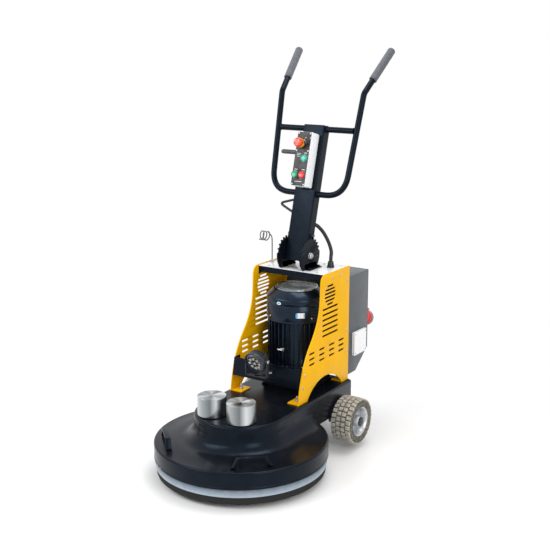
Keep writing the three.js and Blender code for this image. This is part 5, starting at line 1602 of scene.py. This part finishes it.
def conduit():
    """Corrugated conduit that leaves the mast and goes down into the gland on the top sheet."""
    line = smooth_line(CONDUIT, 26)
    length = sum((b - a).length for a, b in zip(line, line[1:]))
    count = int(length / 1.0)
    step = length / count
    even, walked, need = [line[0]], 0.0, step
    for a, b in zip(line, line[1:]):
        span = (b - a).length
        while walked + span >= need and len(even) <= count:
            even.append(a.lerp(b, (need - walked) / span))
            need += step
        walked += span
    radii = [7.9 - 0.9 * (0.5 + 0.5 * math.cos(2 * math.pi * i / 4)) for i in range(len(even))]
    hose = piece("control_conduit", None, [(sweep(even, radii, 24), RUBBER)],
                 replaces=["conduit"],
                 smooth=70)
    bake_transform(hose)
    low, high = box_mm("conduit_gland")
    centre = (low + high) / 2
    body = lathe([(0, low.z), (16, low.z), (16, low.z + 3), (14, low.z + 4), (13, low.z + 5),
                  (13, high.z - 9),
                  (12.4, high.z - 8), (11.4, high.z - 2), (10.4, high.z), (0, high.z)], 40)
    nut = moved(bolt_head(14.4, 6), z=low.z + 3)
    dome = moved(bolt_head(12.2, 7.5), z=high.z - 13)
    for shape in (body, nut, dome):
        shape.transform(Matrix.Translation((centre.x, centre.y, 0)))
    piece("cable_gland", "chassis",
          [(body, BLACK_ABS), (nut, BLACK_ABS), (dome, BLACK_ABS)],
          replaces=["conduit_gland"])


def cable_guide():
    """The sprung wire eye that holds the supply cable up, with a collar at its base."""
    base = box_mm("cable_guide")[0].z
    rise, coil, turns, pitch = 866, 19, 2.6, 15
    points = [(0, 0, base), (0, 0, base + 40), (0, 0, rise - 24), (-4, 0, rise - 6)]
    steps = 24
    for i in range(int(steps * turns) + 1):
        a = 2 * math.pi * i / steps
        points.append((-22 - pitch * i / steps, coil * math.sin(a), rise + coil * (math.cos(a) - 1) + 10))
    wire = sweep(smooth_line(points, 3), 2.5, 14)
    collar = lathe([(2.6, base + 1), (8, base + 1), (8, base + 7), (5, base + 9), (2.6, base + 9)], 24,
                   closed=True)
    shapes = [(moved(shape, -154, 452), material) for shape, material in ((wire, WIRE), (collar, ZINC))]
    piece("wire_guide", "guide", shapes, replaces=["cable_guide"])


LAMP = Matrix.Translation((14, 92, 430)) @ turn_about("X", 24)


def work_lamp():
    """A finned round casting with nine reflector cups behind its lens."""
    radius, length = 47, 42
    case = lathe([(0, 8.5), (radius - 6.5, 8.5), (radius - 5, 0.5), (radius - 1.5, 0), (radius, 1.5),
                  (radius, 15),
                  (radius - 1.5, 17), (radius - 6, 22), (radius - 9, length - 10), (radius - 14, length - 4),
                  (radius - 22, length), (0, length)], 72)
    fins = []
    for i in range(9):
        x = (i - 4) * 8.6
        reach = math.sqrt((radius - 4) ** 2 - x ** 2)
        outline = rounded([(-reach, 18), (reach, 18), (reach * 0.8, length + 5),
                           (-reach * 0.8, length + 5)], 7, 4)
        fin = prism(outline, x - 1.3, x + 1.3)
        fin.transform(SIDEWAYS)
        fins.append(softened(fin, 0.5, 1))
    cups = []
    spots = [(0, 0)] + [(23 * math.cos(a),
                         23 * math.sin(a)) for a in (2 * math.pi * i / 8 for i in range(8))]
    for x, y in spots:
        cup = lathe([(2.6, 7), (8.6, 0.7), (9.6, 0.7), (9.6, 2.9), (3, 8)], 12, closed=True)
        chip = lathe([(0, 5.6), (2.8, 5.6), (2.8, 7.8), (0, 7.8)], 12)
        cups += [(moved(cup, x, y, -0.4), CHROME), (moved(chip, x, y, -0.6), STOP_YELLOW)]
    face = lathe([(0, 7.6), (radius - 6.8, 7.6), (radius - 6.8, 8.7), (0, 8.7)], 72)
    shapes = [(joined(case, *fins), LAMP_CASTING), (face, LENS), *cups]
    for side in (-1, 1):
        ear = lathe([(0, -3), (6, -3), (6, 5), (5, 5.6), (0, 5.6)], 24)
        ear.transform(Matrix.Translation((side * (radius - 0.8), 0,
                                          20)) @ outward(side))
        shapes.append((ear, ZINC))
    for shape, _ in shapes:
        shape.transform(LAMP @ Matrix.Rotation(math.radians(-90), 4, "X") @ Matrix.Translation((0, 0, -20)))
    piece("round_work_lamp", "lamp", shapes, replaces=["work_lamp"])


def lamp_yoke():
    """The bent strap that carries the lamp, bolted to the cross plate."""
    low, high = box_mm("lamp_bracket")
    y, t = 92, 4
    base = low.z + 12
    legs = [(low.x, high.z), (low.x, base), (high.x, base), (high.x, high.z)]
    bend_in = [(low.x + t, high.z), (low.x + t, base + t), (high.x - t, base + t), (high.x - t, high.z)]
    outline = [Vector(legs[0]), *rounded(legs, 8, 5, closed=False)[1:-1], Vector(legs[3]),
               Vector(bend_in[3]), *rounded(list(reversed(bend_in)), 5, 5, closed=False)[1:-1],
               Vector(bend_in[0])]
    strap = softened(prism(outline, -9, 9), 0.7, 1)
    strap.transform(Matrix.Translation((0, y, 0)) @ TO_FRONT)
    arm = slab((0, y - 4, base), (28, high.y - 4, base + t), 0.7)
    tab = slab((-8, high.y - 4.2, low.z), (36, high.y - 0.2, base + t), 0.7)
    shapes = [(joined(strap, arm, tab), LAMP_CASTING)]
    for x in (0, 28):
        head = bolt_head(5.5, 4.6)
        head.transform(Matrix.Translation((x, high.y - 4.2, low.z + 7)) @ TO_FRONT)
        shapes.append((head, ZINC))
    for side in (-1, 1):
        head = bolt_head(6.5, 4.4)
        x = high.x if side > 0 else low.x
        head.transform(Matrix.Translation((x, y, 430)) @ outward(side))
        shapes.append((head, ZINC))
    piece("lamp_strap", "chassis", shapes, replaces=["lamp_bracket"])


# ---- Finish of the inner pieces that keep their shape ----
INNER = {
    OILED: ["base_plate", "spindle", "axle", "driven_pulley", "drive_pulley", "driver_disc"],
    BLACK_COAT: ["top_frame"],
    CAST: ["spindle_housing", "cooling_fan"],
    ZINC: ["bearing_lower", "bearing_upper"],
    COPPER: ["stator"],
    RUBBER: ["belt"],
    PAD: ["polishing_pad"],
    BLACK_ABS: ["control_unit"],
}


def finish_inner():
    finishes = {node: material for material, nodes in INNER.items() for node in nodes}
    for name, obj in frame["nodes"].items():
        material = finishes.get(name, OILED)
        if obj.material_slots:
            for held in obj.material_slots:
                held.material = material
        else:
            obj.data.materials.append(material)


# ---- Camera, floor and light ----
AZIMUTH, ELEVATION = math.radians(33.37), math.radians(13.63)
DISTANCE = 4140.7        # from the point aimed at, in mm
FOCAL_LENGTH = 65.8      # on a sensor 36 mm wide
SIDE_SHIFT = -0.0147
AMBIENT = 0.74           # the room's light on matt surfaces
FADE_FROM, FADE_TO = 0.7, 1.6   # where the floor runs out into white, in m


def camera():
    back = Vector((math.sin(AZIMUTH) * math.cos(ELEVATION), -math.cos(AZIMUTH) * math.cos(ELEVATION),
                   math.sin(ELEVATION)))
    right = Vector((math.cos(AZIMUTH), math.sin(AZIMUTH), 0))
    aim = Vector((0, 300, 738.3)) + right * 2.16
    data = bpy.data.cameras.new("camera")
    data.lens = FOCAL_LENGTH
    data.sensor_width = 36
    data.shift_x = SIDE_SHIFT
    obj = bpy.data.objects.new("camera", data)
    obj.location = MACHINE @ (aim + back * DISTANCE)
    obj.rotation_euler = back.to_track_quat("Z", "Y").to_euler()
    bpy.context.scene.collection.objects.link(obj)
    bpy.context.scene.camera = obj


def area_light(name, spot, aim, size, power, colour="#ffffff"):
    data = bpy.data.lights.new(name, "AREA")
    data.shape = "RECTANGLE"
    data.size, data.size_y = size
    data.energy = power
    data.color = linear(colour)[:3]
    obj = bpy.data.objects.new(name, data)
    obj.location = spot
    obj.rotation_euler = (Vector(spot) - Vector(aim)).to_track_quat("Z", "Y").to_euler()
    bpy.context.scene.collection.objects.link(obj)


def studio():
    """A pale floor and a soft room of even light: a large lamp at the front left, with a strip below it that
    draws the gleam on the deck, a weaker lamp opposite and one overhead."""
    world = bpy.data.worlds.new("studio")
    bpy.context.scene.world = world
    world.use_nodes = True
    tree = world.node_tree
    tree.nodes.clear()
    path = add(tree, "LightPath")
    seen = add(tree, "Math", [(0, path.outputs["Is Camera Ray"]), (1, path.outputs["Is Transmission Ray"])],
               operation="ADD")
    shown = add(tree, "Math", [(0, seen.outputs[0]), (1, path.outputs["Is Glossy Ray"])], operation="ADD",
                use_clamp=True)
    level = add(tree, "MapRange", [("Value", shown.outputs[0])], [("To Min", AMBIENT), ("To Max", 1.0)])
    sky = add(tree, "Background", [("Strength", level.outputs["Result"])], [("Color", (1, 1, 1, 1))])
    add(tree, "OutputWorld", [("Surface", sky.outputs[0])])
    aim = (0, 0.1, 0.7)
    area_light("key", (-2.2, -2.6, 3.0), aim, (2.4, 1.6), 40)
    area_light("strip", (-0.9, -2.7, 2.2), (0, -0.3, 0.2), (2.2, 0.3), 18)
    area_light("fill", (2.8, -1.6, 1.8), aim, (1.4, 1.8), 32)
    area_light("top", (0.2, 0.6, 3.6), aim, (1.8, 1.8), 46)

    floor, tree, shader, where = start("pale_floor", "#ffffff", 1.0)
    tree.nodes.remove(shader)
    output = next(node for node in tree.nodes if node.type == "OUTPUT_MATERIAL")
    matt = add(tree, "BsdfDiffuse")
    matt.inputs["Color"].default_value = linear("#f4f4f4")
    clear = add(tree, "BsdfTransparent")
    reach = add(tree, "VectorMath", [(0, where)], operation="LENGTH")
    fade = add(tree, "MapRange", [("Value", reach.outputs["Value"])],
               [("From Min", FADE_FROM), ("From Max", FADE_TO)],
               interpolation_type="SMOOTHSTEP")
    mixed = add(tree, "MixShader", [("Fac", fade.outputs["Result"]), (1, matt.outputs[0]),
                                    (2, clear.outputs[0])])
    tree.links.new(mixed.outputs[0], output.inputs["Surface"])
    disc = lathe([(0, -0.02), (1.7, -0.02)], 96)
    mesh = bpy.data.meshes.new("floor")
    disc.to_mesh(mesh)
    disc.free()
    mesh.materials.append(floor)
    obj = bpy.data.objects.new("floor", mesh)
    bpy.context.scene.collection.objects.link(obj)
    bpy.context.scene.view_settings.view_transform = "Standard"


camera()
studio()
finish_inner()
deck()
skirt_and_ring()
lifting_handles()
ballast_weights()
motor_casing()
cooling_cowl()
cowl_labels()
adapter_box()
side_plates()
top_sheet()
bracing()
cabinet()
cabinet_door()
side_box()
power_inlet()
wheels()
mast()
handle()
control_station()
switches()
latch()
cable_hook()
quadrants()
pivot_fixing()
conduit()
cable_guide()
work_lamp()
lamp_yoke()
